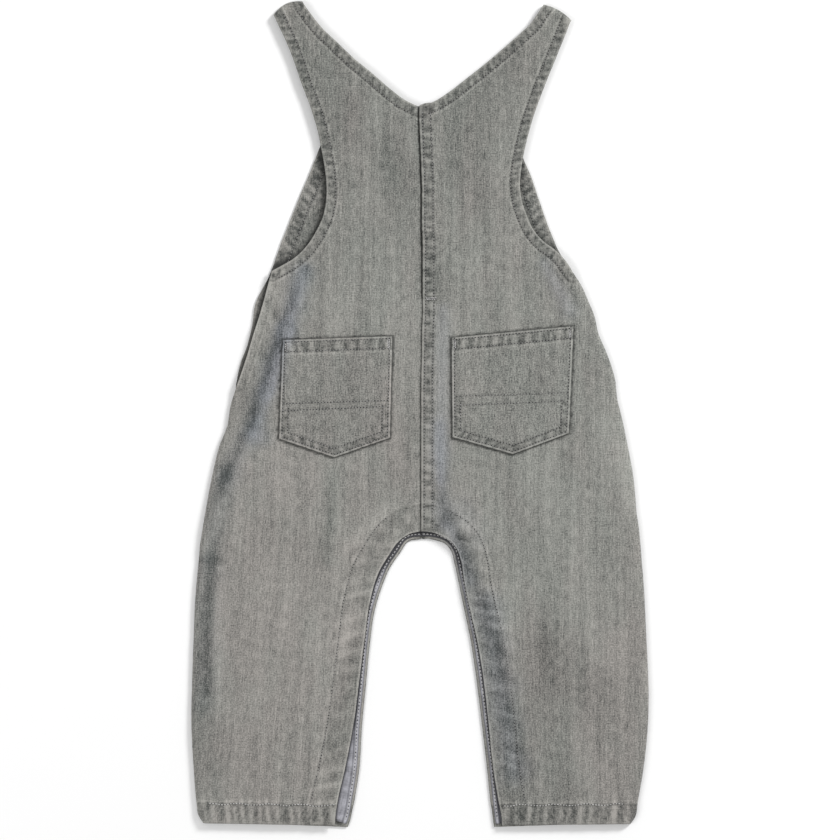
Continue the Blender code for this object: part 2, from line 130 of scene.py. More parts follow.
RIGHT_BODY = (
    Station(135.0, -262.5, 52.5, -263.2, 47.5, -264.5, INSEAM),
    Station(138.0, -258.0, 52.0, -256.5, 46.5, -257.0, INSEAM),
    Station(139.5, -249.0, 50.5, -249.0, 45.5, -248.0, INSEAM),
    Station(143.0, -228.5, 47.0, -228.0, 43.5, -228.0, INSEAM),
    Station(146.0, -199.5, 44.0, -199.5, 40.5, -202.0, INSEAM),
    Station(146.5, -182.0, 42.0, -181.0, 38.5, -185.0, INSEAM),
    Station(146.0, -162.5, 39.5, -162.0, 36.0, -165.5, INSEAM),
    Station(145.0, -142.5, 36.0, -142.5, 32.5, -143.0, INSEAM),
    Station(144.0, -121.0, 31.0, -121.0, 28.5, -124.0, INSEAM),
    Station(143.0, -105.0, 28.0, -105.5, 25.0, -107.0, INSEAM),
    Station(142.0, -93.5, 26.0, -93.0, 22.5, -95.5, INSEAM),
    Station(141.5, -86.5, 23.5, -86.5, 20.0, -87.0, INSEAM),
    Station(141.0, -80.5, 20.0, -82.0, 16.0, -82.5, INSEAM),
    Station(140.5, -75.5, 14.5, -78.5, 11.0, -80.5, INSEAM),
    Station(140.0, -71.0, 8.5, -76.0, 6.5, -79.8, INSEAM),
    Station(139.0, -65.0, 0.5, -75.0, 1.0, -79.5, CENTRE),
    Station(138.0, -53.0, 0.5, -58.0, 1.0, -58.0, CENTRE),
    Station(136.5, -39.0, 0.5, -41.0, 1.0, -41.0, CENTRE),
    Station(133.5, -22.5, 0.5, -22.0, 1.0, -22.0, CENTRE),
    Station(129.0, -1.0, 0.5, -1.0, 1.0, -1.0, CENTRE),
    Station(126.5, 9.0, 0.5, 9.0, 1.0, 9.0, CENTRE),
    Station(125.0, 22.0, 0.5, 21.0, 1.0, 21.0, CENTRE),
    Station(119.0, 40.5, 1.0, 40.0, 1.0, 40.0, CENTRE),
    Station(114.5, 51.0, 1.0, 51.5, 1.0, 51.5, CENTRE),
    Station(111.5, 63.5, 1.5, 64.0, 1.0, 64.0, CENTRE),
    Station(108.0, 72.0, 1.5, 73.0, 1.0, 73.0, CENTRE),
    Station(103.5, 82.0, 1.5, 83.0, 1.0, 83.0, CENTRE),
)

# One section above the body: its outer and inner ends and the kind of edge that starts there
Section = namedtuple("Section", "outer_x outer_y inner_x inner_y outer inner")

BACK_LEFT_TOP = (
    Section(-117.0, 19.0, 0.5, 19.0, OPEN, CENTRE),
    Section(-111.0, 36.5, 1.0, 36.5, OPEN, CENTRE),
    Section(-107.0, 50.0, 1.0, 51.5, OPEN, CENTRE),
    Section(-102.5, 64.0, 1.5, 67.0, OPEN, CENTRE),
    Section(-97.5, 82.0, 1.5, 81.0, OPEN, CENTRE),
    Section(-95.0, 91.5, 1.5, 89.0, ARMHOLE, CENTRE),
    Section(-88.5, 95.0, 1.5, 95.0, ARMHOLE, CENTRE),
    Section(-81.0, 99.5, 1.5, 102.5, ARMHOLE, CENTRE),
    Section(-73.5, 106.5, 1.0, 111.5, ARMHOLE, CENTRE),
    Section(-66.5, 117.0, 1.0, 121.5, ARMHOLE, CENTRE),
    Section(-62.0, 127.0, 1.0, 132.0, ARMHOLE, CENTRE),
    Section(-60.0, 138.0, 1.0, 142.5, ARMHOLE, CENTRE),
    Section(-60.0, 149.0, 0.5, 153.5, ARMHOLE, CENTRE),
    Section(-61.5, 160.5, 0.5, 164.5, ARMHOLE, CENTRE),
    Section(-63.5, 171.5, 0.0, 175.0, ARMHOLE, CENTRE),
    Section(-66.0, 183.0, -0.5, 186.0, ARMHOLE, CENTRE),
    Section(-68.5, 191.5, -0.5, 196.5, ARMHOLE, NECK),
    Section(-71.0, 199.0, -10.0, 201.2, ARMHOLE, NECK),
    Section(-73.5, 205.5, -19.0, 208.0, ARMHOLE, NECK),
    Section(-76.0, 212.0, -31.0, 218.4, ARMHOLE, NECK),
    Section(-78.5, 219.5, -42.2, 227.6, ARMHOLE, NECK),
    Section(-82.0, 229.5, -53.3, 238.2, ARMHOLE, NECK),
    Section(-85.5, 238.0, -61.8, 246.2, ARMHOLE, NECK),
    Section(-89.5, 246.5, -68.6, 254.4, ARMHOLE, NECK),
    Section(-93.0, 254.0, -74.5, 262.6, FOLD, FOLD),
)

BACK_RIGHT_TOP = (
    Section(98.0, 90.5, 1.5, 90.5, ARMHOLE, CENTRE),
    Section(94.0, 97.0, 1.5, 96.5, ARMHOLE, CENTRE),
    Section(86.5, 105.0, 1.5, 104.0, ARMHOLE, CENTRE),
    Section(78.5, 111.0, 1.5, 111.5, ARMHOLE, CENTRE),
    Section(72.0, 119.0, 1.0, 119.5, ARMHOLE, CENTRE),
    Section(68.0, 128.0, 1.0, 128.5, ARMHOLE, CENTRE),
    Section(65.3, 136.5, 1.0, 137.5, ARMHOLE, CENTRE),
    Section(64.0, 146.0, 1.0, 147.5, ARMHOLE, CENTRE),
    Section(65.0, 158.0, 0.5, 160.0, ARMHOLE, CENTRE),
    Section(67.5, 171.5, 0.0, 173.5, ARMHOLE, CENTRE),
    Section(70.3, 182.5, -0.5, 185.5, ARMHOLE, CENTRE),
    Section(73.0, 191.5, -0.5, 196.5, ARMHOLE, NECK),
    Section(75.3, 198.0, 9.5, 200.3, ARMHOLE, NECK),
    Section(77.5, 204.0, 18.5, 206.0, ARMHOLE, NECK),
    Section(80.0, 210.5, 29.5, 214.5, ARMHOLE, NECK),
    Section(83.0, 218.0, 44.0, 226.0, ARMHOLE, NECK),
    Section(86.3, 226.0, 54.5, 235.0, ARMHOLE, NECK),
    Section(89.5, 234.0, 63.0, 242.5, ARMHOLE, NECK),
    Section(92.8, 242.0, 71.2, 250.3, ARMHOLE, NECK),
    Section(96.0, 250.5, 78.3, 260.6, FOLD, FOLD),
)

FRONT_LEFT_TOP = (
    Section(-117.5, 19.0, 1.0, 19.0, OPEN, CENTRE),
    Section(-114.5, 32.5, 1.0, 33.0, OPEN, CENTRE),
    Section(-110.5, 43.0, 1.0, 43.0, OPEN, CENTRE),
    Section(-107.5, 55.0, 1.0, 55.0, OPEN, CENTRE),
    Section(-104.5, 72.0, 1.0, 72.0, OPEN, CENTRE),
    Section(-99.5, 82.0, 1.0, 82.0, OPEN, CENTRE),
    Section(-94.5, 93.5, 1.0, 93.5, ARMHOLE, CENTRE),
    Section(-87.0, 114.0, 1.0, 114.0, ARMHOLE, CENTRE),
    Section(-80.3, 131.0, 1.0, 131.0, ARMHOLE, CENTRE),
    Section(-72.0, 150.5, 1.0, 150.5, ARMHOLE, CENTRE),
    Section(-64.0, 171.0, 1.0, 171.0, ARMHOLE, CENTRE),
    Section(-55.5, 191.0, 1.0, 191.0, ARMHOLE, CENTRE),
)

FRONT_RIGHT_TOP = (
    Section(96.3, 90.5, 1.0, 90.5, ARMHOLE, CENTRE),
    Section(88.5, 105.0, 1.0, 105.0, ARMHOLE, CENTRE),
    Section(81.5, 121.5, 1.0, 121.5, ARMHOLE, CENTRE),
    Section(76.5, 136.0, 1.0, 136.0, ARMHOLE, CENTRE),
    Section(72.0, 149.0, 1.0, 149.0, ARMHOLE, CENTRE),
    Section(67.0, 161.5, 1.0, 161.5, ARMHOLE, CENTRE),
    Section(54.5, 191.0, 1.0, 191.0, ARMHOLE, CENTRE),
)

# Where each folded strap ends on the bib's top edge, and how far its fold bows out
Strap = namedtuple("Strap", "outer_x inner_x bib_y fold_bow")
LEFT_STRAP = Strap(-55.5, -32.5, 191.3, 3.9)
RIGHT_STRAP = Strap(54.5, 30.0, 191.3, 2.2)

# Large folds and soft mounds of the back: a line, the half width across it and its height
Fold = namedtuple("Fold", "x0 y0 x1 y1 half_width height")
BACK_FORM = (
    Fold(-95.0, -80.0, -97.0, -225.0, 34.0, 1.1),
    Fold(98.0, -80.0, 95.0, -225.0, 34.0, 1.1),
    Fold(-55.0, 15.0, 55.0, 15.0, 42.0, 0.7),
    Fold(0.0, 110.0, 0.0, 160.0, 34.0, 0.5),
    Fold(-76.0, 84.0, -97.0, 16.0, 9.0, 0.9),
    Fold(-99.0, 10.0, -130.0, -72.0, 10.0, 1.0),
    Fold(-134.0, -100.0, -135.0, -185.0, 9.0, -0.7),
    Fold(82.0, 92.0, 99.0, 62.0, 8.0, 0.7),
    Fold(30.0, -92.0, 62.0, -205.0, 9.0, -0.6),
    Fold(-62.0, -80.0, -24.0, -66.0, 9.0, 0.6),
    Fold(62.0, -92.0, 26.0, -70.0, 9.0, 0.6),
)
MOST_FORM = 2.0

# Finer creases of the back, as ridges and troughs that lie on the large form
BACK_CREASES = (
    Fold(-73.0, 84.0, -86.0, 52.0, 3.0, 0.35),
    Fold(-86.0, 52.0, -98.0, 12.0, 3.6, 0.4),
    Fold(-98.0, 12.0, -107.0, -14.0, 3.6, 0.35),
    Fold(-107.0, -14.0, -122.0, -46.0, 4.0, 0.4),
    Fold(-122.0, -46.0, -136.0, -84.0, 4.0, 0.3),
    Fold(-80.0, 78.0, -92.0, 44.0, 3.4, -0.35),
    Fold(-92.0, 44.0, -106.0, 2.0, 4.0, -0.4),
    Fold(-106.0, 2.0, -128.0, -52.0, 4.4, -0.4),
    Fold(-97.0, 86.0, -90.0, 70.0, 2.2, 0.3),
    Fold(-101.0, 74.0, -90.0, 60.0, 2.0, -0.3),
    Fold(-104.0, 66.0, -93.0, 56.0, 2.0, 0.28),
    Fold(-107.0, 54.0, -97.0, 50.0, 2.0, 0.24),
    Fold(-110.0, 44.0, -99.0, 36.0, 2.2, -0.24),
    Fold(80.0, 95.0, 96.0, 66.0, 3.0, 0.3),
    Fold(88.0, 92.0, 102.0, 70.0, 3.0, -0.25),
    Fold(-2.0, -63.0, -20.0, -84.5, 2.4, 0.4),
    Fold(-3.5, -66.0, -12.0, -79.5, 2.0, -0.35),
    Fold(-10.0, -60.0, -30.0, -82.0, 2.8, -0.35),
    Fold(-18.0, -60.0, -46.0, -84.0, 4.0, 0.3),
    Fold(6.5, -58.0, 20.5, -80.5, 2.4, 0.4),
    Fold(13.0, -56.0, 27.0, -80.0, 2.8, -0.35),
    Fold(20.0, -56.0, 40.0, -86.0, 4.0, 0.3),
    Fold(-134.0, -94.0, -136.5, -180.0, 3.4, -0.4),
    Fold(-128.0, -100.0, -130.0, -190.0, 3.6, 0.3),
    Fold(28.0, -86.0, 50.0, -150.0, 4.0, -0.35),
    Fold(50.0, -150.0, 62.0, -215.0, 4.4, -0.3),
    Fold(36.0, -84.0, 58.0, -150.0, 4.0, 0.28),
    Fold(-36.0, -104.0, -50.0, -160.0, 4.0, 0.25),
    Fold(-50.0, -160.0, -58.0, -215.0, 4.0, -0.22),
)

# Creases of the front, which lies face down
FRONT_CREASES = (
    Fold(-2.0, -63.0, -22.0, -86.0, 3.0, 0.35),
    Fold(6.0, -60.0, 24.0, -84.0, 3.0, 0.35),
    Fold(-14.0, -58.0, -40.0, -84.0, 4.0, 0.3),
    Fold(16.0, -56.0, 42.0, -86.0, 4.0, 0.3),
    Fold(-78.0, 84.0, -104.0, 12.0, 5.0, 0.45),
    Fold(84.0, 84.0, 106.0, 24.0, 5.0, 0.4),
    Fold(-104.0, 12.0, -130.0, -60.0, 5.0, 0.4),
    Fold(-96.0, -100.0, -100.0, -200.0, 6.0, 0.3),
    Fold(96.0, -96.0, 92.0, -210.0, 6.0, 0.35),
    Fold(-54.0, -150.0, -62.0, -215.0, 4.5, 0.25),
    Fold(54.0, -150.0, 66.0, -215.0, 4.5, 0.25),
    Fold(-30.0, 150.0, 26.0, 146.0, 12.0, 0.25),
)

# Where the washed dye is paler or deeper, warmer or greener, and bluer, and painted shade, darker and bluer,
# along the folds of the left hip and leg, the right armhole and beside the right inseam: soft strokes along a
# line
Wash = namedtuple("Wash", "x0 y0 x1 y1 half_width tone warm blue")
BACK_WASHES = (
    Wash(0.0, 190.0, 0.0, 105.0, 70.0, -0.03, -0.6, 0.0),
    Wash(-85.0, 226.0, 85.0, 226.0, 84.0, -0.1, -0.4, 0.0),
    Wash(-102.0, -50.0, -102.0, -234.0, 42.0, 0.05, 1.0, 0.0),
    Wash(-22.0, 22.0, -13.0, -42.0, 12.0, 0.06, 0.9, 0.0),
    Wash(-38.0, -68.0, -54.0, -183.0, 10.0, 0.05, 0.5, 0.0),
    Wash(-105.0, -6.0, -124.0, -40.0, 7.0, -0.16, -0.6, 0.3),
    Wash(-125.0, -40.0, -134.0, -90.0, 7.5, -0.28, -0.8, 0.2),
    Wash(-136.0, -96.0, -139.0, -185.0, 8.5, -0.12, -0.8, 0.2),
    Wash(-138.0, -195.0, -134.0, -240.0, 11.0, -0.08, -0.6, 0.0),
    Wash(-54.0, -36.0, -59.0, -93.0, 5.0, -0.13, -1.0, 0.0),
    Wash(-74.0, 92.0, -86.0, 54.0, 6.0, -0.12, -0.2, 0.9),
    Wash(-86.0, 54.0, -98.0, 15.0, 6.0, -0.12, -0.2, 1.0),
    Wash(-98.0, 15.0, -107.0, -12.0, 6.0, -0.12, -0.3, 0.7),
    Wash(-99.0, 79.0, -111.0, 28.0, 5.0, 0.16, 0.3, 0.0),
    Wash(90.0, 30.0, 77.0, -93.0, 50.0, 0.01, -1.0, 0.0),
    Wash(15.0, 67.0, 13.0, -42.0, 5.0, 0.09, 0.0, 0.4),
    Wash(12.0, -8.0, 15.0, -70.0, 5.0, -0.04, 0.0, 0.5),
    Wash(128.0, -150.0, 125.0, -241.0, 24.0, 0.02, 1.3, 0.0),
    Wash(66.0, -145.0, 88.0, -176.0, 14.0, -0.06, 0.9, 0.0),
    Wash(77.0, -150.0, 115.0, -183.0, 15.0, -0.1, 0.1, 0.0),
    Wash(42.0, -120.0, 60.0, -228.0, 9.0, -0.1, -0.2, 0.6),
    Wash(28.0, -60.0, 36.0, -82.0, 8.0, -0.08, 0.0, 0.2),
    Wash(20.0, -74.0, 32.0, -106.0, 6.0, -0.1, 0.0, 0.6),
    Wash(123.0, -4.0, 136.0, -55.0, 7.0, 0.12, -0.2, 0.0),
    Wash(-42.0, 78.0, -24.0, 70.0, 20.0, 0.06, -0.5, 0.0),
    Wash(75.0, -215.0, 88.0, -250.0, 36.0, -0.09, -0.4, 0.0),
    Wash(-40.0, 150.0, -46.0, 200.0, 8.0, -0.05, 0.9, 0.0),
    Wash(30.0, 180.0, 34.0, 130.0, 7.0, -0.03, 0.8, 0.0),
    Wash(6.4, 96.0, 6.4, 82.0, 4.5, -0.22, -0.3, 0.0),
    Wash(80.0, 96.0, 96.0, 66.0, 5.0, -0.06, 0.2, 0.4),
)

# A pocket: its top corners, its lower corners, the point below them, and how far down its side edge and
# its centre edge each of its two rows of stitches ends
Pocket = namedtuple("Pocket", "side_top centre_top centre_low point side_low rows")
LEFT_POCKET = Pocket(
    side_top=(-88.0, 47.5),
    centre_top=(-17.5, 50.0),
    centre_low=(-19.0, -15.5),
    point=(-55.0, -28.0),
    side_low=(-90.5, -16.0),
    rows=((0.645, 0.63), (0.716, 0.688)),
)
RIGHT_POCKET = Pocket(
    side_top=(98.5, 56.5),
    centre_top=(20.0, 49.0),
    centre_low=(20.5, -15.0),
    point=(59.5, -26.0),
    side_low=(95.5, -12.5),
    rows=((0.623, 0.589), (0.698, 0.68)),
)
POCKET_ROWS = 104
POCKET_COLUMNS = 92
POCKET_HEM = 8.6
POCKET_EDGE_STITCH = 1.9
POCKET_HEM_ROWS = (1.6, 7.8)
POCKET_POINT_BAND = 5.6

# The strip under the back opening, and the facing strips along the inseams
SLIT_FOOT = 74.0
UNDERLAP = ((-5.0, 13.0), (70.0, 199.3))
FACING_SETBACK = 1.2
FACING_WIDTH = 14.0
FACING_END = 1.5


# Lines and distances
def smooth_edge(points, corners, counts):
    """A smooth line through the points, straight into each corner, with counts[i] steps from point i."""
    line = []
    for i, steps in enumerate(counts):
        start, end = points[i], points[i + 1]
        chord = end - start
        leave = arrive = chord
        if i > 0 and not corners[i]:
            leave = through(points[i - 1], start, end) * chord.length
        if i + 2 < len(points) and not corners[i + 1]:
            arrive = through(start, end, points[i + 2]) * chord.length
        line += [hermite(start, end, leave, arrive, step / steps) for step in range(steps)]
    line.append(points[-1].copy())
    return line


def through(before, point, after):
    """The line's direction at the middle one of three points."""
    first, second = point - before, after - point
    a, b = first.length, second.length
    return (first / a * b + second / b * a) / (a + b)


def hermite(start, end, leave, arrive, t):
    t2, t3 = t * t, t * t * t
    return (
        start * (2 * t3 - 3 * t2 + 1)
        + leave * (t3 - 2 * t2 + t)
        + end * (3 * t2 - 2 * t3)
        + arrive * (t3 - t2)
    )


def spread(values, counts):
    """Values at the rows, spread evenly over the steps between them."""
    out = []
    for i, steps in enumerate(counts):
        out += [values[i] + (values[i + 1] - values[i]) * step / steps for step in range(steps)]
    return np.array(out + [values[-1]])


def changes(kinds):
    return [i > 0 and kinds[i] != kinds[i - 1] for i in range(len(kinds))]


def near_line(points, line):
    """Distance from each point to a line, and how far along the line its nearest place is."""
    start, step = line[:-1], np.diff(line, axis=0)
    length = np.hypot(step[:, 0], step[:, 1])
    reached = np.concatenate(([0.0], np.cumsum(length)))[:-1]
    offset = points[:, None, :] - start[None, :, :]
    share = np.clip((offset * step).sum(2) / np.maximum(length, 1e-6) ** 2, 0.0, 1.0)
    away = np.linalg.norm(offset - share[:, :, None] * step, axis=2)
    nearest = away.argmin(axis=1)
    rows = np.arange(len(points))
    return away[rows, nearest], (reached + share * length)[rows, nearest]


def thinned(line, most=110):
    """The same line with fewer points, its last one kept."""
    step = max(1, len(line) // most)
    return line if step == 1 else np.vstack((line[:-1:step], line[-1:]))


def washed(points, washes):
    """How the dye varies at each point, with the painted shade of the folds: its tone, its warmth and its
    blueness.
    """
    total = np.zeros((3, len(points)))
    for wash in washes:
        away, _ = near_line(points, np.array([(wash.x0, wash.y0), (wash.x1, wash.y1)]))
        soft = bell(away * (1 + 0.22 * rumple(points, 61, 6, 20.0, 50.0, 1.5)), wash.half_width)
        total += np.array((wash.tone, wash.warm, wash.blue))[:, None] * soft
    return total


def smooth_step(value, low, high):
    share = np.clip((value - low) / (high - low), 0.0, 1.0)
    return share * share * (3 - 2 * share)


def bell(value, width):
    return np.exp(-((value / width) ** 2))


def fold_heights(points, folds):
    total = np.zeros(len(points))
    for fold in folds:
        away, _ = near_line(points, np.array([(fold.x0, fold.y0), (fold.x1, fold.y1)]))
        total += fold.height * bell(away, fold.half_width)
    return total


def rumple(points, seed, waves, shortest, longest, lean):
    """A soft uneven surface: seeded waves of many lengths and directions, about -1 to 1."""
    rng = np.random.default_rng(seed)
    total = np.zeros(len(points))
    for _ in range(waves):
        length = rng.uniform(shortest, longest)
        turn = rng.normal(0.0, lean)
        phase = rng.uniform(0, 2 * math.pi, 2)
        across = points[:, 0] * math.cos(turn) + points[:, 1] * math.sin(turn)
        along = points[:, 1] * math.cos(turn) - points[:, 0] * math.sin(turn)
        swell = 0.6 + 0.4 * np.sin(along * 2 * math.pi / (length * 3.1) + phase[1])
        total += np.sin(across * 2 * math.pi / length + phase[0]) * swell
    return total / math.sqrt(waves)


def puckers(along, length, spacing, seed):
    """Heights of the uneven puckers along a seam, 0 between them and about 1 at the crests."""
    rng = np.random.default_rng(seed)
    total = np.zeros(len(along))
    place = rng.uniform(-spacing[1], spacing[0])
    while place < length + spacing[1]:
        gap = rng.uniform(*spacing)
        total += rng.uniform(0.5, 1.15) * bell(along - place, gap * rng.uniform(0.19, 0.31))
        place += gap
    return total


# One panel: its rows of points, its edges and the height of its cloth
class Panel:
    def __init__(self, sections, side, row_size, inset, seed):
        self.side, self.seed = side, seed
        outer = [Vector((s.outer_x, s.outer_y)) for s in sections]
        inner = [Vector((s.inner_x, s.inner_y)) for s in sections]
        counts = []
        for i in range(len(sections) - 1):
            longest = max((outer[i + 1] - outer[i]).length, (inner[i + 1] - inner[i]).length)
            counts.append(max(1, math.ceil(longest / row_size)))
        outer_kinds = [s.outer for s in sections]
        inner_kinds = [s.inner for s in sections]
        self.outer = np.array(smooth_edge(outer, changes(outer_kinds), counts))
        self.inner = np.array(smooth_edge(inner, changes(inner_kinds), counts))
        centre = spread([float(kind == CENTRE) for kind in inner_kinds], counts)
        self.inner[centre == 1.0, 0] += side * SEAM_GAP / 2
        self.roll = spread([float(kind == SIDE) for kind in outer_kinds], counts)
        if inset:
            self.outer += self.inward(self.outer, -side) * (inset * self.roll)[:, None]
        starts = np.concatenate(([0], np.cumsum(counts)))
        self.edges = {"hem": np.array([self.outer[0], self.inner[0]])}
        for line, kinds in ((self.outer, outer_kinds), (self.inner, inner_kinds)):
            for kind in dict.fromkeys(kinds):
                first = kinds.index(kind)
                last = len(kinds) - 1 - kinds[::-1].index(kind)
                end = starts[min(last + 1, len(kinds) - 1)]
                if end > starts[first]:
                    self.edges[kind] = line[starts[first]:end + 1]
        self.bands = []
        self.covered_by = []

    @staticmethod
    def inward(line, turn):
        """Unit steps square to a line that runs up the garment, to its right for turn 1."""
        along = np.gradient(line, axis=0)
        along /= np.linalg.norm(along, axis=1)[:, None]
        return np.stack((along[:, 1], -along[:, 0]), axis=1) * turn

    def beside(self, kind, distance, start=0.0, end=None):
        """A line inside an edge of the panel, from start to end along it."""
        line = self.edges[kind]
        turn = self.side if kind in (INSEAM, CENTRE, NECK) else -self.side
        reached = np.concatenate(([0.0], np.cumsum(np.linalg.norm(np.diff(line, axis=0), axis=1))))
        end = reached[-1] if end is None else end if end >= 0 else reached[-1] + end
        keep = (reached >= start) & (reached <= end)
        return (line + self.inward(line, turn) * distance)[keep]

    def add_band(self, kind, band, side_share=1.0):
        self.bands.append((kind, band, side_share, self.seed * 101 + 7 * len(self.bands)))

    def banded(self, points, base):
        """Heights with the turned bands added, the cloth's wear with painted highlights on ridges and folded
        edges, and the seams' darker tone with painted shade in grooves and hollows.
        """
        height = base.copy()
        wear_and_painted_light = np.zeros(len(points))
        shade = np.zeros(len(points))
        for kind, band, share, seed in self.bands:
            thin = thinned(self.edges[kind])
            away, along = near_line(points, thin)
            length = np.linalg.norm(np.diff(thin, axis=0), axis=1).sum()
            across = away / band.width
            on_band = 1 - smooth_step(away, band.width - 0.5, band.width + 0.7)
            crest = puckers(along + band.slant * away, length, band.spacing, seed)
            crest += 0.4 * puckers(along - 0.6 * away, length, (2.4, 4.2), seed + 1) - 0.18
            lively = (0.5 + 0.5 * smooth_step(across, 0.0, 0.4)) * (1 - smooth_step(across, 0.7, 1.5))
            height += band.rise * on_band * share + band.pucker * (crest - 0.35) * lively
            # the stitch line sinks in a groove, darkened with painted shade
            groove = bell(away - band.stitch, 0.75)
            height -= 0.24 * groove
            # pucker crests partly worn pale and partly painted light, with painted shade in their hollows
            wear_and_painted_light += band.worn * (crest - 0.3) * lively * (1 - 0.5 * groove)
            wear_and_painted_light += 0.16 * bell(away - band.width - 0.9, 0.7)
            shade += 0.35 * groove + band.dark * on_band
            ragged = puckers(along - 0.2 * away, length, (2.8, 5.8), seed + 5) - 0.35
            shade -= 0.3 * ragged * bell(away - band.width - 2.0, 1.7)
            # painted shade in the hollows between the wide puckers
            if band.patch:
                patches = puckers(along + 0.2 * away, length, PATCH_SPACING, seed + 3)
                shade += band.patch * patches * bell(away - 6.2, 4.2)
        for kind in (ARMHOLE, NECK, OPEN, INSEAM, "hem"):
            if kind in self.edges:
                away, _ = near_line(points, thinned(self.edges[kind]))
                close = np.clip(1 - away / EDGE_ROUND, 0.0, 1.0)
                height -= EDGE_DROP * (1 - np.sqrt(1 - close * close))
                # painted highlight: a pale line just inside each folded edge
                wear_and_painted_light += 0.42 * bell(away - 0.45, 0.6)
        return height, wear_and_painted_light, shade


BACK_BANDS = (
    (ARMHOLE, STRAP_BAND),
    (NECK, STRAP_BAND),
    (OPEN, OPENING_BAND),
    ("hem", HEM_BAND),
    (INSEAM, INSEAM_BAND),
)


def back_base(points):
    """The top of the back's cloth before bands and puckers."""
    form = np.clip(fold_heights(points, BACK_FORM), 0.0, MOST_FORM)
    return (
        BACK_TOP
        + form
        + fold_heights(points, BACK_CREASES)
        + 0.12 * rumple(points, 11, 14, 14.0, 46.0, 0.9)
        + 0.05 * rumple(points, 12, 16, 6.0, 13.0, 1.2)
    )


def back_surface(panel, points):
    """Height, wear with painted highlights, and painted shade of a back panel at each point."""
    height, wear_and_painted_light, shade = panel.banded(points, back_base(points))
    # painted light and shade: creases and fine ripples paler on their crests, darker in their troughs
    wear_and_painted_light += 0.05 * rumple(points, 12, 16, 6.0, 13.0, 1.2) + 0.45 * fold_heights(points, BACK_CREASES)
    away, along = near_line(points, thinned(panel.edges[CENTRE]))
    open_part = smooth_step(points[:, 1], SLIT_FOOT - 3, SLIT_FOOT + 3)
    if panel.side > 0:
        on_band = 1 - smooth_step(away, CENTRE_BAND - 0.4, CENTRE_BAND + 0.6)
        crest = puckers(along + 0.2 * away, 300.0, (4.5, 9.0), 501)
        crest += 0.4 * puckers(along - 0.3 * away, 300.0, (2.4, 4.4), 502) - 0.18
        height += on_band * (0.35 + 0.25 * open_part) + 0.22 * (crest - 0.35) * on_band
        # the stitch rows sink in grooves darkened with painted shade
        for distance in CENTRE_ROWS:
            height -= 0.16 * bell(away - distance, 0.7)
            shade += 0.3 * bell(away - distance, 0.8)
        close = np.clip(1 - away / 0.9, 0.0, 1.0)
        height -= 0.5 * (1 - np.sqrt(1 - close * close))
        # painted highlight along the folded centre edge; pucker crests partly worn pale, partly painted light
        wear_and_painted_light += (crest - 0.3) * on_band * 0.5 + 0.45 * bell(away - 0.8, 0.6) + 0.08 * on_band
        shade += 0.36 * on_band
    else:
        # painted shadow under the right panel's folded edge, deeper along the open slit
        height -= (0.35 + 0.35 * open_part) * bell(away, 1.7)
        shade += (0.8 + 0.8 * open_part) * bell(away, 0.9)
    # painted shadow: a dark line on the back just outside each pocket's edge
    for shape in (LEFT_POCKET, RIGHT_POCKET):
        away, _ = near_line(points, pocket_outline(shape))
        shade += 1.2 * bell(np.maximum(away - 0.2, 0.0), 0.8)
    return height, wear_and_painted_light, shade


def front_surface(panel, points):
    base = (
        FRONT_LIFT
        + 0.7 * fold_heights(points, FRONT_CREASES)
        + 0.14 * rumple(points, 31, 14, 14.0, 46.0, 0.9)
        + 0.04 * rumple(points, 32, 14, 6.0, 13.0, 1.2)
    )
    height, wear_and_painted_light, shade = panel.banded(points, base)
    # painted shadow where the back's armhole and opening edges overhang the front, deeper on the left, away
    # from the key light
    painted_shadow_depth = 1.0 if panel.side < 0 else 0.3
    for line in panel.covered_by:
        away, _ = near_line(points, thinned(line))
        shade += painted_shadow_depth * (0.9 * bell(away, 2.6) + 0.4 * bell(away, 9.0))
    # painted shade at the front's turned inseam edge, and a painted highlight on the fold just inside it
    away, _ = near_line(points, thinned(panel.edges[INSEAM]))
    shade += 0.9 * bell(away, 0.35)
    wear_and_painted_light += 0.4 * bell(away - 0.8, 0.4)
    away, _ = near_line(points, thinned(panel.edges[CENTRE]))
    seam = 1 - smooth_step(away, 6.5, 8.0)
    height += 0.3 * bell(away, 1.2) - (0.25 * seam if panel.side > 0 else 0.0)
    shade += 0.5 * bell(away, 1.0)
    if panel.side > 0:
        for distance in CENTRE_ROWS:
            shade += 0.25 * bell(away - distance, 0.8)
    # painted shade along the front's creases, by their height
    wear_and_painted_light -= 0.4 * fold_heights(points, FRONT_CREASES)
    return np.maximum(height, 0.0), wear_and_painted_light, shade


def body_sections(body, top, front):
    if front:
        legs = [Section(s.side_x, s.side_y, s.front_x, s.front_y, SIDE, s.inner) for s in body]
    else:
        legs = [Section(s.side_x, s.side_y, s.back_x, s.back_y, SIDE, s.inner) for s in body]
    return legs + list(top)


# Meshes
def column_places(width, middle):
    """Distances from the outer edge at which a row has its points, close together by both edges."""
    near = np.array(EDGE_COLUMNS)
    room = min(1.0, width * 0.4 / near[-1])
    near = near * room
    between = near[-1] + (width - 2 * near[-1]) * np.arange(1, middle + 1) / (middle + 1)
    return np.concatenate((near, between, width - near[::-1]))


def grid_points(panel, middle):
    """Points of a panel's flat lie, row by row, with their distance from the outer edge."""
    flat, reach = [], []
    for outer, inner in zip(panel.outer, panel.inner):
        width = np.linalg.norm(inner - outer)
        places = column_places(width, middle)
        flat.append(outer + (inner - outer) * (places / width)[:, None])
        reach.append(places)
    return np.array(flat), np.array(reach)


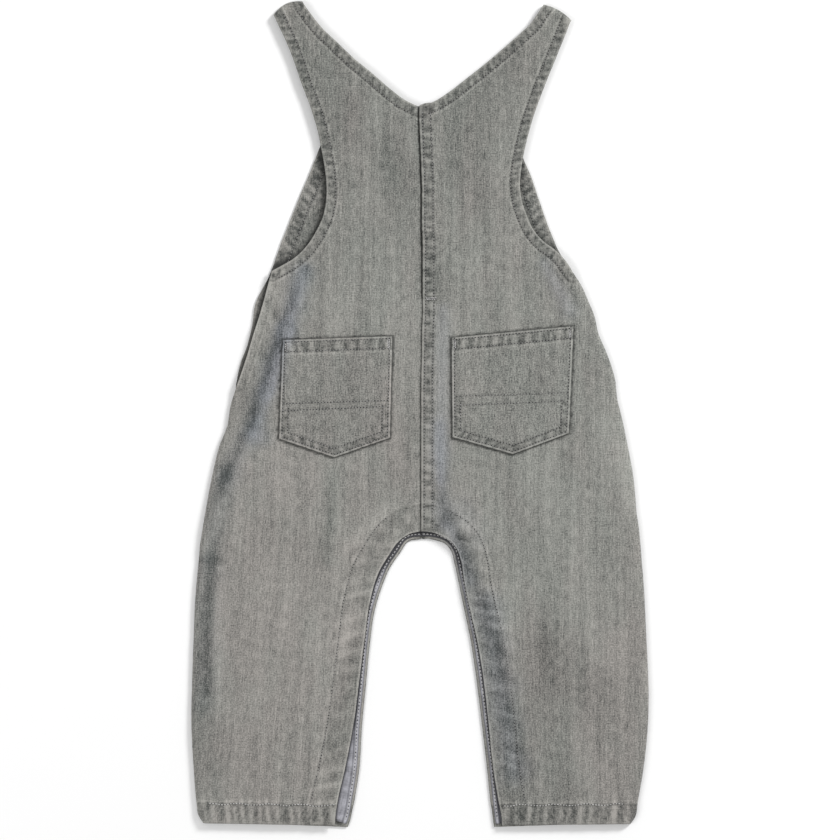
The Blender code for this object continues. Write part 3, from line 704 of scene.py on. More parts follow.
def sheet_mesh(name, points, grain, wear_and_painted_light, shade, faces_up, finish, wall=CLOTH, washes=BACK_WASHES):
    """An open grid of cloth given its wall, its grain as a UV map, and its dye, wear, painted highlights and
    painted shade as attributes.
    """
    rows, columns = points.shape[:2]
    index = np.arange(rows * columns).reshape(rows, columns)
    corners = (index[:-1, :-1], index[:-1, 1:], index[1:, 1:], index[1:, :-1])
    quads = np.stack(corners, axis=-1).reshape(-1, 4)
    flat = points.reshape(-1, 3)
    first = flat[quads]
    normal = np.cross(first[:, 2] - first[:, 0], first[:, 3] - first[:, 1])
    if (normal[: columns * rows // 4, 2].sum() > 0) != faces_up:
        quads = quads[:, ::-1]
    mesh = bpy.data.meshes.new(name)
    mesh.vertices.add(len(flat))
    mesh.vertices.foreach_set("co", (flat * MM).ravel())
    mesh.loops.add(quads.size)
    mesh.loops.foreach_set("vertex_index", quads.ravel())
    mesh.polygons.add(len(quads))
    mesh.polygons.foreach_set("loop_start", np.arange(0, quads.size, 4))
    mesh.update(calc_edges=True)
    mesh.validate()
    uv = mesh.uv_layers.new(name="grain")
    uv.data.foreach_set("uv", grain.reshape(-1, 2)[quads.ravel()].ravel())
    tone, warm, blue = washed(flat[:, :2], washes)
    # the washes' tone, painted fold shade included, joins the wear and its painted light
    wear_and_painted_light = wear_and_painted_light.reshape(-1) + tone
    for label, values in (("wear_and_painted_light", wear_and_painted_light), ("shade", shade), ("warm", warm), ("blue", blue)):
        attribute = mesh.attributes.new(label, "FLOAT", "POINT")
        attribute.data.foreach_set("value", values.reshape(-1).astype(np.float32))
    mesh.shade_smooth()
    mesh.materials.append(finish)
    piece = bpy.data.objects.new(name, mesh)
    bpy.context.scene.collection.objects.link(piece)
    thickness = piece.modifiers.new("wall", "SOLIDIFY")
    thickness.thickness = wall * MM
    thickness.offset = -1.0
    made = bpy.data.meshes.new_from_object(piece.evaluated_get(bpy.context.evaluated_depsgraph_get()))
    piece.modifiers.clear()
    piece.data = made
    made.name = name
    return piece


def grain_of(points, side):
    """The cloth's grain in millimetres: along the body, and leaning with each leg below the crotch."""
    below = np.clip(-70.0 - points[..., 1], 0.0, None)
    lean = -0.07 * below if side < 0 else 0.015 * below
    return np.stack((points[..., 0] - lean + side * 400.0, points[..., 1]), axis=-1)


def shoulder(panel, top_row, places, strap):
    """Rows from the last section of a back, round the shoulder fold and under it to the bib."""
    outer, inner = panel.outer[-1], panel.inner[-1]
    chord = inner - outer
    beyond = np.array((chord[1], -chord[0])) / np.linalg.norm(chord) * panel.side
    shares = places / places[-1]
    bow = 4 * shares * (1 - shares) * strap.fold_bow
    flat = top_row[:, :2]
    crown = top_row[:, 2] - BACK_TOP
    rows = []
    for step in range(1, FOLD_STEPS + 1):
        turn = math.pi * step / FOLD_STEPS
        out = FOLD_RADIUS * math.sin(turn) + bow * math.sin(turn / 2)
        height = FOLD_RADIUS * (1 + math.cos(turn)) + crown * max(0.0, math.cos(turn))
        rows.append(np.column_stack((flat + beyond * out[:, None], height)))
    for step in range(1, UNDER_STRAP_STEPS + 1):
        share = step / UNDER_STRAP_STEPS
        start = outer + (np.array((strap.outer_x, strap.bib_y)) - outer) * share
        end = inner + (np.array((strap.inner_x, strap.bib_y)) - inner) * share
        line = start + (end - start) * shares[:, None] + beyond * (bow * (1 - share))[:, None]
        edge = np.minimum(shares, 1 - shares) * np.linalg.norm(end - start)
        height = 0.3 * (1 - bell(edge - 3.0, 3.0))
        rows.append(np.column_stack((line, height)))
    return rows


def back_panel(name, panel, strap):
    flat, reach = grid_points(panel, BACK_MIDDLE_COLUMNS)
    height, wear_and_painted_light, shade = (part.reshape(reach.shape) for part in back_surface(panel, flat.reshape(-1, 2)))
    close = np.clip(1 - reach / ROLL_REACH, 0.0, 1.0)
    rolled = ROLL_RIM + (height - ROLL_RIM) * np.sqrt(1 - close * close)
    height += (rolled - height) * panel.roll[:, None]
    points = np.dstack((flat, height))
    extra = shoulder(panel, points[-1], reach[-1], strap)
    walked = np.cumsum([np.linalg.norm(np.diff(pair, axis=0)[0], axis=1).mean()
                        for pair in zip([points[-1]] + extra[:-1], extra)])
    grain = grain_of(points[..., :2], panel.side)
    more = [grain[-1] + np.array((0.0, step)) for step in walked]
    fade = np.linspace(1.0, 0.4, len(extra))[:, None]
    wear_and_painted_light = np.vstack((wear_and_painted_light, wear_and_painted_light[-1] * fade))
    shade = np.vstack((shade, shade[-1] * fade))
    points = np.concatenate((points, np.array(extra)))
    grain = np.concatenate((grain, np.array(more)))
    return sheet_mesh(name, points, grain, wear_and_painted_light, shade, True, CHAMBRAY)


def front_panel(name, panel):
    flat, reach = grid_points(panel, FRONT_MIDDLE_COLUMNS)
    height, wear_and_painted_light, shade = (part.reshape(reach.shape) for part in front_surface(panel, flat.reshape(-1, 2)))
    points = np.dstack((flat, height * PRESSED))
    return sheet_mesh(name, points, grain_of(flat, panel.side * 2), wear_and_painted_light, shade, False, CHAMBRAY_INSIDE)


def pocket_outline(shape):
    """The pocket's corners in order round it, from one end of its top edge and back there."""
    low_corners = [shape.side_low, shape.point, shape.centre_low]
    return np.array([shape.side_top] + low_corners + [shape.centre_top, shape.side_top], float)


def pocket_surface(shape, points):
    """Height, wear with painted highlights, and painted shade of a patch pocket on its back panel."""
    outline = pocket_outline(shape)
    top = outline[-2:]
    down, along_top = near_line(points, top)
    away, along = near_line(points, outline[:-1])
    seed = 700 + int(shape.point[0])
    on_hem = 1 - smooth_step(down, POCKET_HEM - 0.4, POCKET_HEM + 0.7)
    hem_crest = puckers(along_top + 0.15 * down, 90.0, (5.0, 9.5), seed)
    hem_crest += 0.4 * puckers(along_top - 0.3 * down, 90.0, (2.6, 4.4), seed + 1) - 0.15
    edge_crest = puckers(along + 0.5 * away, 260.0, (4.0, 8.0), seed + 2)
    low = smooth_step(down, 43.0, 48.0)
    by_edge = low * (1 - smooth_step(away, POCKET_POINT_BAND - 0.4, POCKET_POINT_BAND + 0.6))
    inner_stitch = low * bell(away - POCKET_POINT_BAND, 0.7)
    lively = (0.4 + 0.6 * smooth_step(down, 0.0, 3.0)) * on_hem
    height = back_base(points) + POCKET_LIFT
    height += 0.32 * on_hem + 0.4 * (hem_crest - 0.5) * lively
    height += 0.25 * (edge_crest - 0.45) * by_edge * (1 - on_hem)
    height += 0.22 * smooth_step(away, 2.0, 9.0)
    edge_stitch = bell(away - POCKET_EDGE_STITCH, 0.7)
    hem_stitch = sum(bell(down - row, 0.7) for row in POCKET_HEM_ROWS)
    height -= 0.22 * edge_stitch + 0.22 * hem_stitch + 0.18 * inner_stitch
    nearest = np.minimum(away, down)
    close = np.clip(1 - nearest / 1.1, 0.0, 1.0)
    height -= 0.7 * (1 - np.sqrt(1 - close * close))
    # pucker crests of the hem and the point band partly worn pale, partly painted light, with painted shade
    # in their hollows
    wear_and_painted_light = (hem_crest - 0.3) * lively * 0.6 + (edge_crest - 0.3) * by_edge * 0.45
    # painted highlight just inside the pocket's folded edges
    wear_and_painted_light += 0.5 * bell(nearest - 0.9, 0.45)
    wear_and_painted_light += 0.16 * bell(down - POCKET_HEM - 0.9, 0.7)
    wear_and_painted_light += 0.05 * rumple(points, 15, 14, 5.0, 12.0, 1.2)
    # painted shade in the stitch grooves, and the darker tone of the hem and the point band
    shade = 0.3 * (edge_stitch + hem_stitch + inner_stitch) + 0.24 * on_hem + 0.3 * by_edge
    # painted shadow: a dark rim at the pocket's very edge
    shade += 1.2 * bell(nearest, 0.25)
    for line in pocket_rows(shape):
        # the rows across sink in grooves darkened with painted shade
        level, _ = near_line(points, line)
        height -= 0.18 * bell(level, 0.7)
        shade += 0.3 * bell(level, 0.8)
    return height, wear_and_painted_light, shade


def pocket_rows(shape):
    """The two rows of topstitching across a pocket, between its side edges."""
    side_top, side_low = np.array(shape.side_top), np.array(shape.side_low)
    centre_top, centre_low = np.array(shape.centre_top), np.array(shape.centre_low)
    rows = []
    for side_share, centre_share in shape.rows:
        start = side_top + (side_low - side_top) * side_share
        end = centre_top + (centre_low - centre_top) * centre_share
        inset = (end - start) / np.linalg.norm(end - start) * 2.4
        rows.append(np.linspace(start + inset, end - inset, 30))
    return rows


def pocket(name, shape):
    side_top, centre_top = np.array(shape.side_top), np.array(shape.centre_top)
    side_low, centre_low = np.array(shape.side_low), np.array(shape.centre_low)
    point = np.array(shape.point)
    to_point, from_point = np.linalg.norm(point - side_low), np.linalg.norm(centre_low - point)
    split = to_point / (to_point + from_point)
    half = POCKET_COLUMNS // 2
    ease = edge_dense(half)
    across = np.concatenate((ease * split, split + (1 - split) * (1 - ease[::-1])[1:]))
    bottom = np.where(
        (across < split)[:, None],
        side_low + (point - side_low) * (across / split)[:, None],
        point + (centre_low - point) * ((across - split) / (1 - split))[:, None],
    )
    top = side_top + (centre_top - side_top) * across[:, None]
    down = both_edges_dense(POCKET_ROWS)
    flat = top[None] + (bottom - top)[None] * down[:, None, None]
    parts = pocket_surface(shape, flat.reshape(-1, 2))
    height, wear_and_painted_light, shade = (part.reshape(flat.shape[:2]) for part in parts)
    points = np.dstack((flat, height))
    grain = grain_of(flat, 3.0 if shape.point[0] > 0 else -3.0)
    return sheet_mesh(name, points, grain, wear_and_painted_light, shade, True, POCKET_CHAMBRAY)


def edge_dense(count):
    """Shares from 0 to 1, closer together near 0."""
    share = np.linspace(0.0, 1.0, count)
    return 0.55 * share + 0.45 * share * share


def both_edges_dense(count):
    share = np.linspace(0.0, 1.0, count)
    return share - 0.09 * np.sin(2 * math.pi * share)


def inseam_facing(name, panel, back_edge):
    """A strip that follows the front's inseam edge from just above the hem to the crotch."""
    edge = panel.edges[INSEAM]
    steps = Panel.inward(edge, panel.side)
    steps[-1] = (0.0, 1.0)
    keep = np.linalg.norm(edge - edge[0], axis=1) > FACING_END
    edge, steps = edge[keep], steps[keep]
    shares = np.linspace(0.0, 1.0, 28)
    flat = edge[:, None] + steps[:, None] * (FACING_SETBACK + FACING_WIDTH * shares)[None, :, None]
    reached = np.concatenate(([0.0], np.cumsum(np.linalg.norm(np.diff(edge, axis=0), axis=1))))
    crest = puckers(reached, reached[-1], (7.0, 15.0), 900 + panel.side)
    across = FACING_WIDTH * shares
    round_off = np.clip(1 - across / 0.8, 0.0, 1.0)
    height = INNER_STRIP_TOP + 0.25 * (crest[:, None] - 0.4) * smooth_step(across, 0.5, 5.0)[None]
    height = height - 0.3 * bell(across - 2.9, 0.5)[None] - 0.4 * (1 - np.sqrt(1 - round_off ** 2))[None]
    wear_and_painted_light = 0.25 * (crest[:, None] - 0.5) + 0.4 * bell(across - 1.5, 0.6)[None]
    # painted shade in the groove by the stitching and along the step at the tape's edge
    shade = np.broadcast_to(0.8 * bell(across - 2.9, 0.45) + 0.8 * bell(across, 0.5), height.shape)
    by_back = near_line(flat.reshape(-1, 2), thinned(back_edge))[0].reshape(height.shape)
    # painted shadow cast by the back's inseam edge
    shade = shade + 0.9 * bell(by_back, 0.9) + 0.25 * bell(by_back, 2.5)
    shade = shade + 0.9 * smooth_step(flat[..., 1], -108.0, -92.0)
    points = np.dstack((flat, height))
    across_all = np.broadcast_to(across, height.shape)
    grain = np.dstack((across_all, np.broadcast_to(reached[:, None], height.shape)))
    return sheet_mesh(name, points, grain, wear_and_painted_light, shade, True, FACING_TAPE, 0.6)


def placket_underlap(name):
    (left, right), (low, high) = UNDERLAP
    across = np.linspace(left, right, 22)
    crown = high - 0.045 * (across - 6.0) ** 2
    up = np.linspace(0.0, 1.0, 110)
    flat = np.dstack((np.broadcast_to(across, (110, 22)), low + (crown - low)[None] * up[:, None]))
    points = flat.reshape(-1, 2)
    height = INNER_STRIP_TOP + 0.08 * rumple(points, 41, 10, 8.0, 24.0, 1.0)
    by_top = ((1 - up[:, None]) * (crown - low)[None]).ravel()
    crest = puckers(points[:, 0] + 0.4 * by_top, 40.0, (3.0, 6.0), 42)
    height += 0.35 * (crest - 0.5) * (1 - smooth_step(by_top, 4.0, 8.0))
    # pucker crests partly worn pale and partly painted light; a painted highlight along the folded top edge
    wear_and_painted_light = 0.4 * (crest - 0.5) * (1 - smooth_step(by_top, 4.0, 8.0)) + 0.3 * bell(by_top - 0.5, 0.8)
    shape = flat.shape[:2]
    points = np.dstack((flat, height.reshape(shape)))
    wear_and_painted_light = wear_and_painted_light.reshape(shape)
    return sheet_mesh(name, points, grain_of(flat, 1.5), wear_and_painted_light, np.zeros(shape), True, CHAMBRAY_INSIDE)


# Shader maths
class Wire:
    """A socket in a material, so that its maths reads as plain sums."""

    def __init__(self, paint, socket):
        self.paint, self.socket = paint, socket

    def __add__(self, other):
        return self.paint.maths("ADD", self, other)

    def __sub__(self, other):
        return self.paint.maths("SUBTRACT", self, other)

    def __mul__(self, other):
        return self.paint.maths("MULTIPLY", self, other)

    def __rsub__(self, other):
        return self.paint.maths("SUBTRACT", other, self)

    def at_least(self, other):
        return self.paint.maths("MAXIMUM", self, other)

    def at_most(self, other):
        return self.paint.maths("MINIMUM", self, other)

    __radd__ = __add__
    __rmul__ = __mul__


class Paint:
    """A material being made: node() adds one node to it and returns a wire from its output."""

    def __init__(self, name):
        self.material = bpy.data.materials.new(name)
        self.material.use_nodes = True
        self.tree = self.material.node_tree
        self.surface = self.tree.nodes["Principled BSDF"]

    def node(self, kind, settings, inputs, output=0):
        made = self.tree.nodes.new(kind)
        for key, value in settings.items():
            setattr(made, key, value)
        for key, value in inputs.items():
            self.join(made.inputs[key], value)
        return Wire(self, made.outputs[output])

    def join(self, socket, value):
        if isinstance(value, Wire):
            self.tree.links.new(value.socket, socket)
        else:
            socket.default_value = value

    def maths(self, operation, first, second):
        return self.node("ShaderNodeMath", {"operation": operation}, {0: first, 1: second})

    def attribute(self, name):
        return self.node("ShaderNodeAttribute", {"attribute_name": name}, {}, "Fac")

    def grain(self):
        return self.node("ShaderNodeUVMap", {"uv_map": "grain"}, {})

    def scaled(self, place, across, along):
        """The grain's coordinates with threads so wide and so long, in millimetres."""
        return self.node(
            "ShaderNodeVectorMath", {"operation": "MULTIPLY"}, {0: place, 1: (1 / across, 1 / along, 1.0)}
        )

    def noise(self, place, scale=1.0, detail=2.0, roughness=0.5):
        inputs = {"Vector": place, "Scale": scale, "Detail": detail, "Roughness": roughness}
        return self.node("ShaderNodeTexNoise", {"normalize": True}, inputs, "Fac")

    def mix(self, share, first, second, blend="MIX"):
        settings = {"data_type": "RGBA", "blend_type": blend, "clamp_factor": True}
        return self.node("ShaderNodeMix", settings, {0: share, 6: first, 7: second}, 2)

    def finish(self, colour, roughness, normal, sheen):
        self.join(self.surface.inputs["Base Color"], colour)
        self.join(self.surface.inputs["Roughness"], roughness)
        self.join(self.surface.inputs["Normal"], normal)
        self.surface.inputs["Sheen Weight"].default_value = sheen
        self.surface.inputs["Sheen Roughness"].default_value = 0.5
        self.surface.inputs["Specular IOR Level"].default_value = 0.25
        return self.material


def grey(level, warmth=0.0):
    return (level * (1 + warmth), level, level * (1 - warmth * 1.4), 1.0)


# Dyes, the tints they are multiplied by, and how far a shade of 1 darkens the cloth toward the dark of its
# seams and of the painted shadows
DEEP_DYE = (0.063, 0.066, 0.063, 1.0)
PALE_DYE = (0.412, 0.398, 0.376, 1.0)
SEAM_AND_SHADOW_DARK = (0.022, 0.023, 0.022, 1.0)
GREEN_TINT = (0.97, 1.01, 0.985, 1.0)
WARM_TINT = (1.02, 0.998, 0.985, 1.0)
BLUE_TINT = (0.91, 0.96, 1.10, 1.0)
SHADE_SHARE = 0.62
MOST_SHADE_SHARE = 0.9


def chambray(name, middle, coarse, fine):
    """Washed chambray: uneven warp threads, soft patches, worn ridges, and blotches where seams darken it;
    painted highlights and painted shade come in through its attributes.
    """
    paint = Paint(name)
    place = paint.grain()
    slub = paint.noise(paint.scaled(place, 1.6, 40.0), detail=2.0, roughness=0.6)
    wide = paint.noise(paint.scaled(place, 5.0, 100.0), detail=2.0)
    warp = paint.noise(paint.scaled(place, 0.75, 6.0), detail=1.0)
    weft = paint.noise(paint.scaled(place, 4.0, 0.75), detail=1.0)
    fleck = paint.noise(paint.scaled(place, 0.8, 0.95), detail=1.0)
    patch = paint.noise(paint.scaled(place, 26.0, 60.0), detail=2.0)
    hue = paint.noise(paint.scaled(place, 16.0, 40.0), detail=2.0)
    blotch = paint.noise(paint.scaled(place, 3.2, 3.0), detail=2.0)
    shade = paint.attribute("shade")
    tone = (slub - 0.5) * (0.42 * coarse) + (wide - 0.5) * (0.45 * coarse)
    tone = tone + (patch - 0.5) * (0.36 * coarse) + (warp - 0.5) * (0.6 * fine)
    tone = tone + (weft - 0.5) * (0.3 * fine) + (fleck - 0.5) * fine
    seam_and_shadow_share = shade.at_least(0.0).at_most(0.5)
    tone = tone + (blotch - 0.5) * (seam_and_shadow_share * 3.0) + paint.attribute("wear_and_painted_light") + middle
    base = paint.mix(tone, DEEP_DYE, PALE_DYE)
    warmth = paint.attribute("warm") * 0.45 + (hue - 0.5) * 1.6 + 0.5
    colour = paint.mix(1.0, base, paint.mix(warmth, GREEN_TINT, WARM_TINT), "MULTIPLY")
    # bluish painted shade in the folds, and bluer dye
    colour = paint.mix(paint.attribute("blue"), colour, paint.mix(1.0, colour, BLUE_TINT, "MULTIPLY"))
    # darkened by painted shade and by the darker tone of the seams
    colour = paint.mix((shade * SHADE_SHARE).at_most(MOST_SHADE_SHARE), colour, SEAM_AND_SHADOW_DARK)
    bump_height = warp * 0.5 + weft * 0.4 + slub * 0.6
    bump = paint.node(
        "ShaderNodeBump", {}, {"Strength": 0.35, "Distance": 0.00025, "Height": bump_height}
    )
    rough = (slub - 0.5) * 0.1 + 0.88
    return paint.finish(colour, rough, bump, 0.12)


def facing_tape(name):
    """Smooth lavender-grey tape with a fine cross weave."""
    paint = Paint(name)
    place = paint.grain()
    rib = paint.noise(paint.scaled(place, 0.8, 5.0), detail=1.0)
    cross = paint.noise(paint.scaled(place, 4.0, 0.8), detail=1.0)
    cloud = paint.noise(paint.scaled(place, 8.0, 14.0), detail=2.0)
    tone = (rib - 0.5) * 0.6 + (cross - 0.5) * 0.6 + (cloud - 0.5) * 0.8 + 0.5
    tone = tone + paint.attribute("wear_and_painted_light")
    base = paint.mix(tone, (0.13, 0.13, 0.145, 1.0), (0.56, 0.56, 0.61, 1.0))
    # darkened by painted shade: the back's edge shadow and the grooves
    colour = paint.mix((paint.attribute("shade") * 0.8).at_most(0.93), base, (0.035, 0.035, 0.04, 1.0))
    weave = rib * 0.5 + cross * 0.5
    bump = paint.node("ShaderNodeBump", {}, {"Strength": 0.3, "Distance": 0.0002, "Height": weave})
    rough = (cloud - 0.5) * 0.1 + 0.8
    return paint.finish(colour, rough, bump, 0.1)


def thread(name, level):
    """Twisted sewing thread, read on the object's own coordinates."""
    paint = Paint(name)
    place = paint.node("ShaderNodeTexCoord", {}, {}, "Object")
    ply = paint.noise(place, 1400.0, 1.0)
    batch = paint.noise(place, 60.0, 1.0)
    tone = (ply - 0.5) * 0.6 + (batch - 0.5) * 0.8 + 0.5
    colour = paint.mix(tone, grey(level * 0.7, 0.01), grey(level * 1.3, 0.01))
    bump = paint.node("ShaderNodeBump", {}, {"Strength": 0.4, "Distance": 0.0001, "Height": ply})
    rough = (batch - 0.5) * 0.1 + 0.7
    return paint.finish(colour, rough, bump, 0.1)


def pale_floor(name):
    paint = Paint(name)
    place = paint.node("ShaderNodeTexCoord", {}, {}, "Object")
    grain = paint.noise(place, 9.0, 2.0)
    colour = paint.mix(grain, grey(0.93), grey(0.95))
    bump = paint.node("ShaderNodeBump", {}, {"Strength": 0.02, "Distance": 0.0002, "Height": grain})
    return paint.finish(colour, (grain - 0.5) * 0.05 + 0.95, bump, 0.0)


CHAMBRAY = chambray("chambray", 0.5, 1.0, 1.15)
POCKET_CHAMBRAY = chambray("pocket_chambray", 0.43, 0.75, 1.3)
CHAMBRAY_INSIDE = chambray("chambray_inside", 0.4, 1.0, 1.15)
FACING_TAPE = facing_tape("facing_tape")
CLOTH_THREAD = thread("cloth_thread", 0.27)
PALE_THREAD = thread("pale_thread", 0.5)
NEEDLE_HOLE_SHADOW = thread("needle_hole_shadow", 0.03)


# Stitching
def stitch_tree():
    """Stitches along lines: at every pitch one of thread, and a flat dark bead, painted shade of the needle
    hole, half way to the next.
    """
    tree = bpy.data.node_groups.new("stitching", "GeometryNodeTree")
    face = tree.interface
    face.new_socket("Lines", in_out="INPUT", socket_type="NodeSocketGeometry")
    for name in ("Half Pitch", "Length", "Thickness", "Hole Length", "Hole Width"):
        face.new_socket(name, in_out="INPUT", socket_type="NodeSocketFloat")
    face.new_socket("Seed", in_out="INPUT", socket_type="NodeSocketInt")
    for name in ("Thread", "Hole"):
        face.new_socket(name, in_out="INPUT", socket_type="NodeSocketMaterial")
    face.new_socket("Stitches", in_out="OUTPUT", socket_type="NodeSocketGeometry")
    add, link = tree.nodes.new, tree.links.new
    given, result = add("NodeGroupInput"), add("NodeGroupOutput")
    curve = add("GeometryNodeMeshToCurve")
    link(given.outputs["Lines"], curve.inputs["Mesh"])
    spaced = add("GeometryNodeResampleCurve")
    spaced.mode = "LENGTH"
    link(curve.outputs["Curve"], spaced.inputs["Curve"])
    link(given.outputs["Half Pitch"], spaced.inputs["Length"])
    tangent = add("GeometryNodeInputTangent")
    turned = add("FunctionNodeAlignRotationToVector")
    turned.axis = "X"
    link(tangent.outputs[0], turned.inputs["Vector"])
    parity = add("ShaderNodeMath")
    parity.operation = "MODULO"
    link(add("GeometryNodeInputIndex").outputs[0], parity.inputs[0])
    parity.inputs[1].default_value = 2.0
    thread_turn = add("ShaderNodeMath")
    thread_turn.operation = "SUBTRACT"
    thread_turn.inputs[0].default_value = 1.0
    link(parity.outputs[0], thread_turn.inputs[1])
    uneven = add("FunctionNodeRandomValue")
    uneven.inputs[2].default_value = 0.8
    uneven.inputs[3].default_value = 1.15
    link(given.outputs["Seed"], uneven.inputs["Seed"])
    joined = add("GeometryNodeJoinGeometry")
    kinds = (
        (thread_turn, "Length", "Thickness", 1.0, 6, 4, "Thread"),
        (parity, "Hole Length", "Hole Width", 0.3, 8, 3, "Hole"),
    )
    for turn, length, width, flatness, segments, rings, finish in kinds:
        bead = add("GeometryNodeMeshUVSphere")
        bead.inputs["Segments"].default_value = segments
        bead.inputs["Rings"].default_value = rings
        bead.inputs["Radius"].default_value = 0.5
        depth = add("ShaderNodeMath")
        depth.operation = "MULTIPLY"
        link(given.outputs[width], depth.inputs[0])
        depth.inputs[1].default_value = flatness
        size = add("ShaderNodeCombineXYZ")
        link(given.outputs[length], size.inputs[0])
        link(given.outputs[width], size.inputs[1])
        link(depth.outputs[0], size.inputs[2])
        scaled = add("ShaderNodeVectorMath")
        scaled.operation = "SCALE"
        link(size.outputs[0], scaled.inputs[0])
        link(uneven.outputs[1], scaled.inputs["Scale"])
        laid = add("GeometryNodeInstanceOnPoints")
        link(spaced.outputs["Curve"], laid.inputs["Points"])
        link(turn.outputs[0], laid.inputs["Selection"])
        link(bead.outputs["Mesh"], laid.inputs["Instance"])
        link(turned.outputs["Rotation"], laid.inputs["Rotation"])
        link(scaled.outputs[0], laid.inputs["Scale"])
        real = add("GeometryNodeRealizeInstances")
        link(laid.outputs["Instances"], real.inputs["Geometry"])
        painted = add("GeometryNodeSetMaterial")
        link(real.outputs["Geometry"], painted.inputs["Geometry"])
        link(given.outputs[finish], painted.inputs["Material"])
        link(painted.outputs["Geometry"], joined.inputs["Geometry"])
    smooth = add("GeometryNodeSetShadeSmooth")
    link(joined.outputs["Geometry"], smooth.inputs["Geometry"])
    link(smooth.outputs["Geometry"], result.inputs["Stitches"])
    return tree


STITCHING = stitch_tree()


def stitch_piece(name, lines, finish, pitch=STITCH_PITCH, length=STITCH_LENGTH, thickness=THREAD):
    """One piece for all the stitches along these lines of points, in millimetres."""
    points = np.vstack(lines) * MM
    edges, first = [], 0
    for line in lines:
        edges += [(i, i + 1) for i in range(first, first + len(line) - 1)]
        first += len(line)
    mesh = bpy.data.meshes.new(name)
    mesh.from_pydata(points.tolist(), edges, [])
    piece = bpy.data.objects.new(name, mesh)
    bpy.context.scene.collection.objects.link(piece)
    sewn = piece.modifiers.new("stitching", "NODES")
    sewn.node_group = STITCHING
    sockets = {item.name: item.identifier for item in STITCHING.interface.items_tree}
    sewn[sockets["Half Pitch"]] = pitch / 2 * MM
    sewn[sockets["Length"]] = length * MM
    sewn[sockets["Thickness"]] = thickness * MM
    sewn[sockets["Hole Length"]] = HOLE_LENGTH * MM
    sewn[sockets["Hole Width"]] = HOLE_WIDTH * MM
    sewn[sockets["Seed"]] = 3
    sewn[sockets["Thread"]] = finish
    sewn[sockets["Hole"]] = NEEDLE_HOLE_SHADOW
    made = bpy.data.meshes.new_from_object(piece.evaluated_get(bpy.context.evaluated_depsgraph_get()))
    piece.modifiers.clear()
    piece.data = made
    made.name = name
    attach(piece, "root")
    return piece


def on_top(line, height):
    """The line laid on a surface whose height function is given."""
    return np.column_stack((line, height(line) + STITCH_LIFT))


def bar_tack(start, end, width, step=0.55):
    """A zigzag of close stitches between two points."""
    start, end = np.array(start, float), np.array(end, float)
    along = end - start
    length = np.linalg.norm(along)
    square = np.array((-along[1], along[0])) / length * width / 2
    count = max(4, int(length / step))
    sign = np.where(np.arange(count + 1) % 2 == 0, 1.0, -1.0)
    return start + along * np.linspace(0, 1, count + 1)[:, None] + square * sign[:, None]


# Pieces
back_left = Panel(body_sections(LEFT_BODY, BACK_LEFT_TOP, False), -1, BACK_ROW, 0.0, 1)
back_right = Panel(body_sections(RIGHT_BODY, BACK_RIGHT_TOP, False), 1, BACK_ROW, 0.0, 2)
front_left = Panel(body_sections(LEFT_BODY, FRONT_LEFT_TOP, True), -1, FRONT_ROW, SIDE_INSET, 3)
front_right = Panel(body_sections(RIGHT_BODY, FRONT_RIGHT_TOP, True), 1, FRONT_ROW, SIDE_INSET, 4)
for panel in (back_left, back_right):
    for kind, band in BACK_BANDS:
        if kind in panel.edges:
            panel.add_band(kind, band)
for panel in (front_left, front_right):
    panel.edges["bib"] = np.array([panel.inner[-1], panel.outer[-1]])
    panel.add_band(ARMHOLE, BIB_BAND, -1.0)
    panel.add_band("hem", HEM_BAND, -1.0)
    panel.add_band("bib", BIB_BAND, -1.0)
    if OPEN in panel.edges:
        panel.add_band(OPEN, OPENING_BAND, -1.0)
for front, back in ((front_left, back_left), (front_right, back_right)):
    front.covered_by = [back.edges[kind] for kind in (ARMHOLE, OPEN) if kind in back.edges]

cloth = {
    "back_left": back_panel("cloth_back_left", back_left, LEFT_STRAP),
    "back_right": back_panel("cloth_back_right", back_right, RIGHT_STRAP),
    "front_left": front_panel("cloth_front_left", front_left),
    "front_right": front_panel("cloth_front_right", front_right),
    "back_pocket_left": pocket("cloth_back_pocket_left", LEFT_POCKET),
    "back_pocket_right": pocket("cloth_back_pocket_right", RIGHT_POCKET),
    "inseam_facing_left": inseam_facing("tape_inseam_left", front_left, back_left.edges[INSEAM]),
    "inseam_facing_right": inseam_facing("tape_inseam_right", front_right, back_right.edges[INSEAM]),
    "placket_underlap": placket_underlap("cloth_placket_underlap"),
}

# How each piece was cut: its width and length, its area, its slot and what it lies on
Cut = namedtuple("Cut", "node width length area slot rests_on")
CUTS = (
    Cut("back_left", 0.150, 0.640, 0.0516, "chambray", "front_left"),
    Cut("back_right", 0.150, 0.640, 0.0526, "chambray", "front_right"),
    Cut("front_left", 0.150, 0.457, 0.0484, "chambray", "floor"),
    Cut("front_right", 0.150, 0.457, 0.0479, "chambray", "floor"),
    Cut("back_pocket_left", 0.074, 0.080, 0.0050, "pocket_chambray", "back_left"),
    Cut("back_pocket_right", 0.080, 0.084, 0.0056, "pocket_chambray", "back_right"),
    Cut("inseam_facing_left", 0.0145, 0.215, 0.0029, "facing_tape", "front_left"),
    Cut("inseam_facing_right", 0.0145, 0.215, 0.00295, "facing_tape", "front_right"),
    Cut("placket_underlap", 0.018, 0.1295, 0.0023, "chambray", "front_right"),
)


def top_of(panel):
    return lambda line: back_surface(panel, line[:, :2])[0]


def pocket_top(shape):
    return lambda line: pocket_surface(shape, line[:, :2])[0]


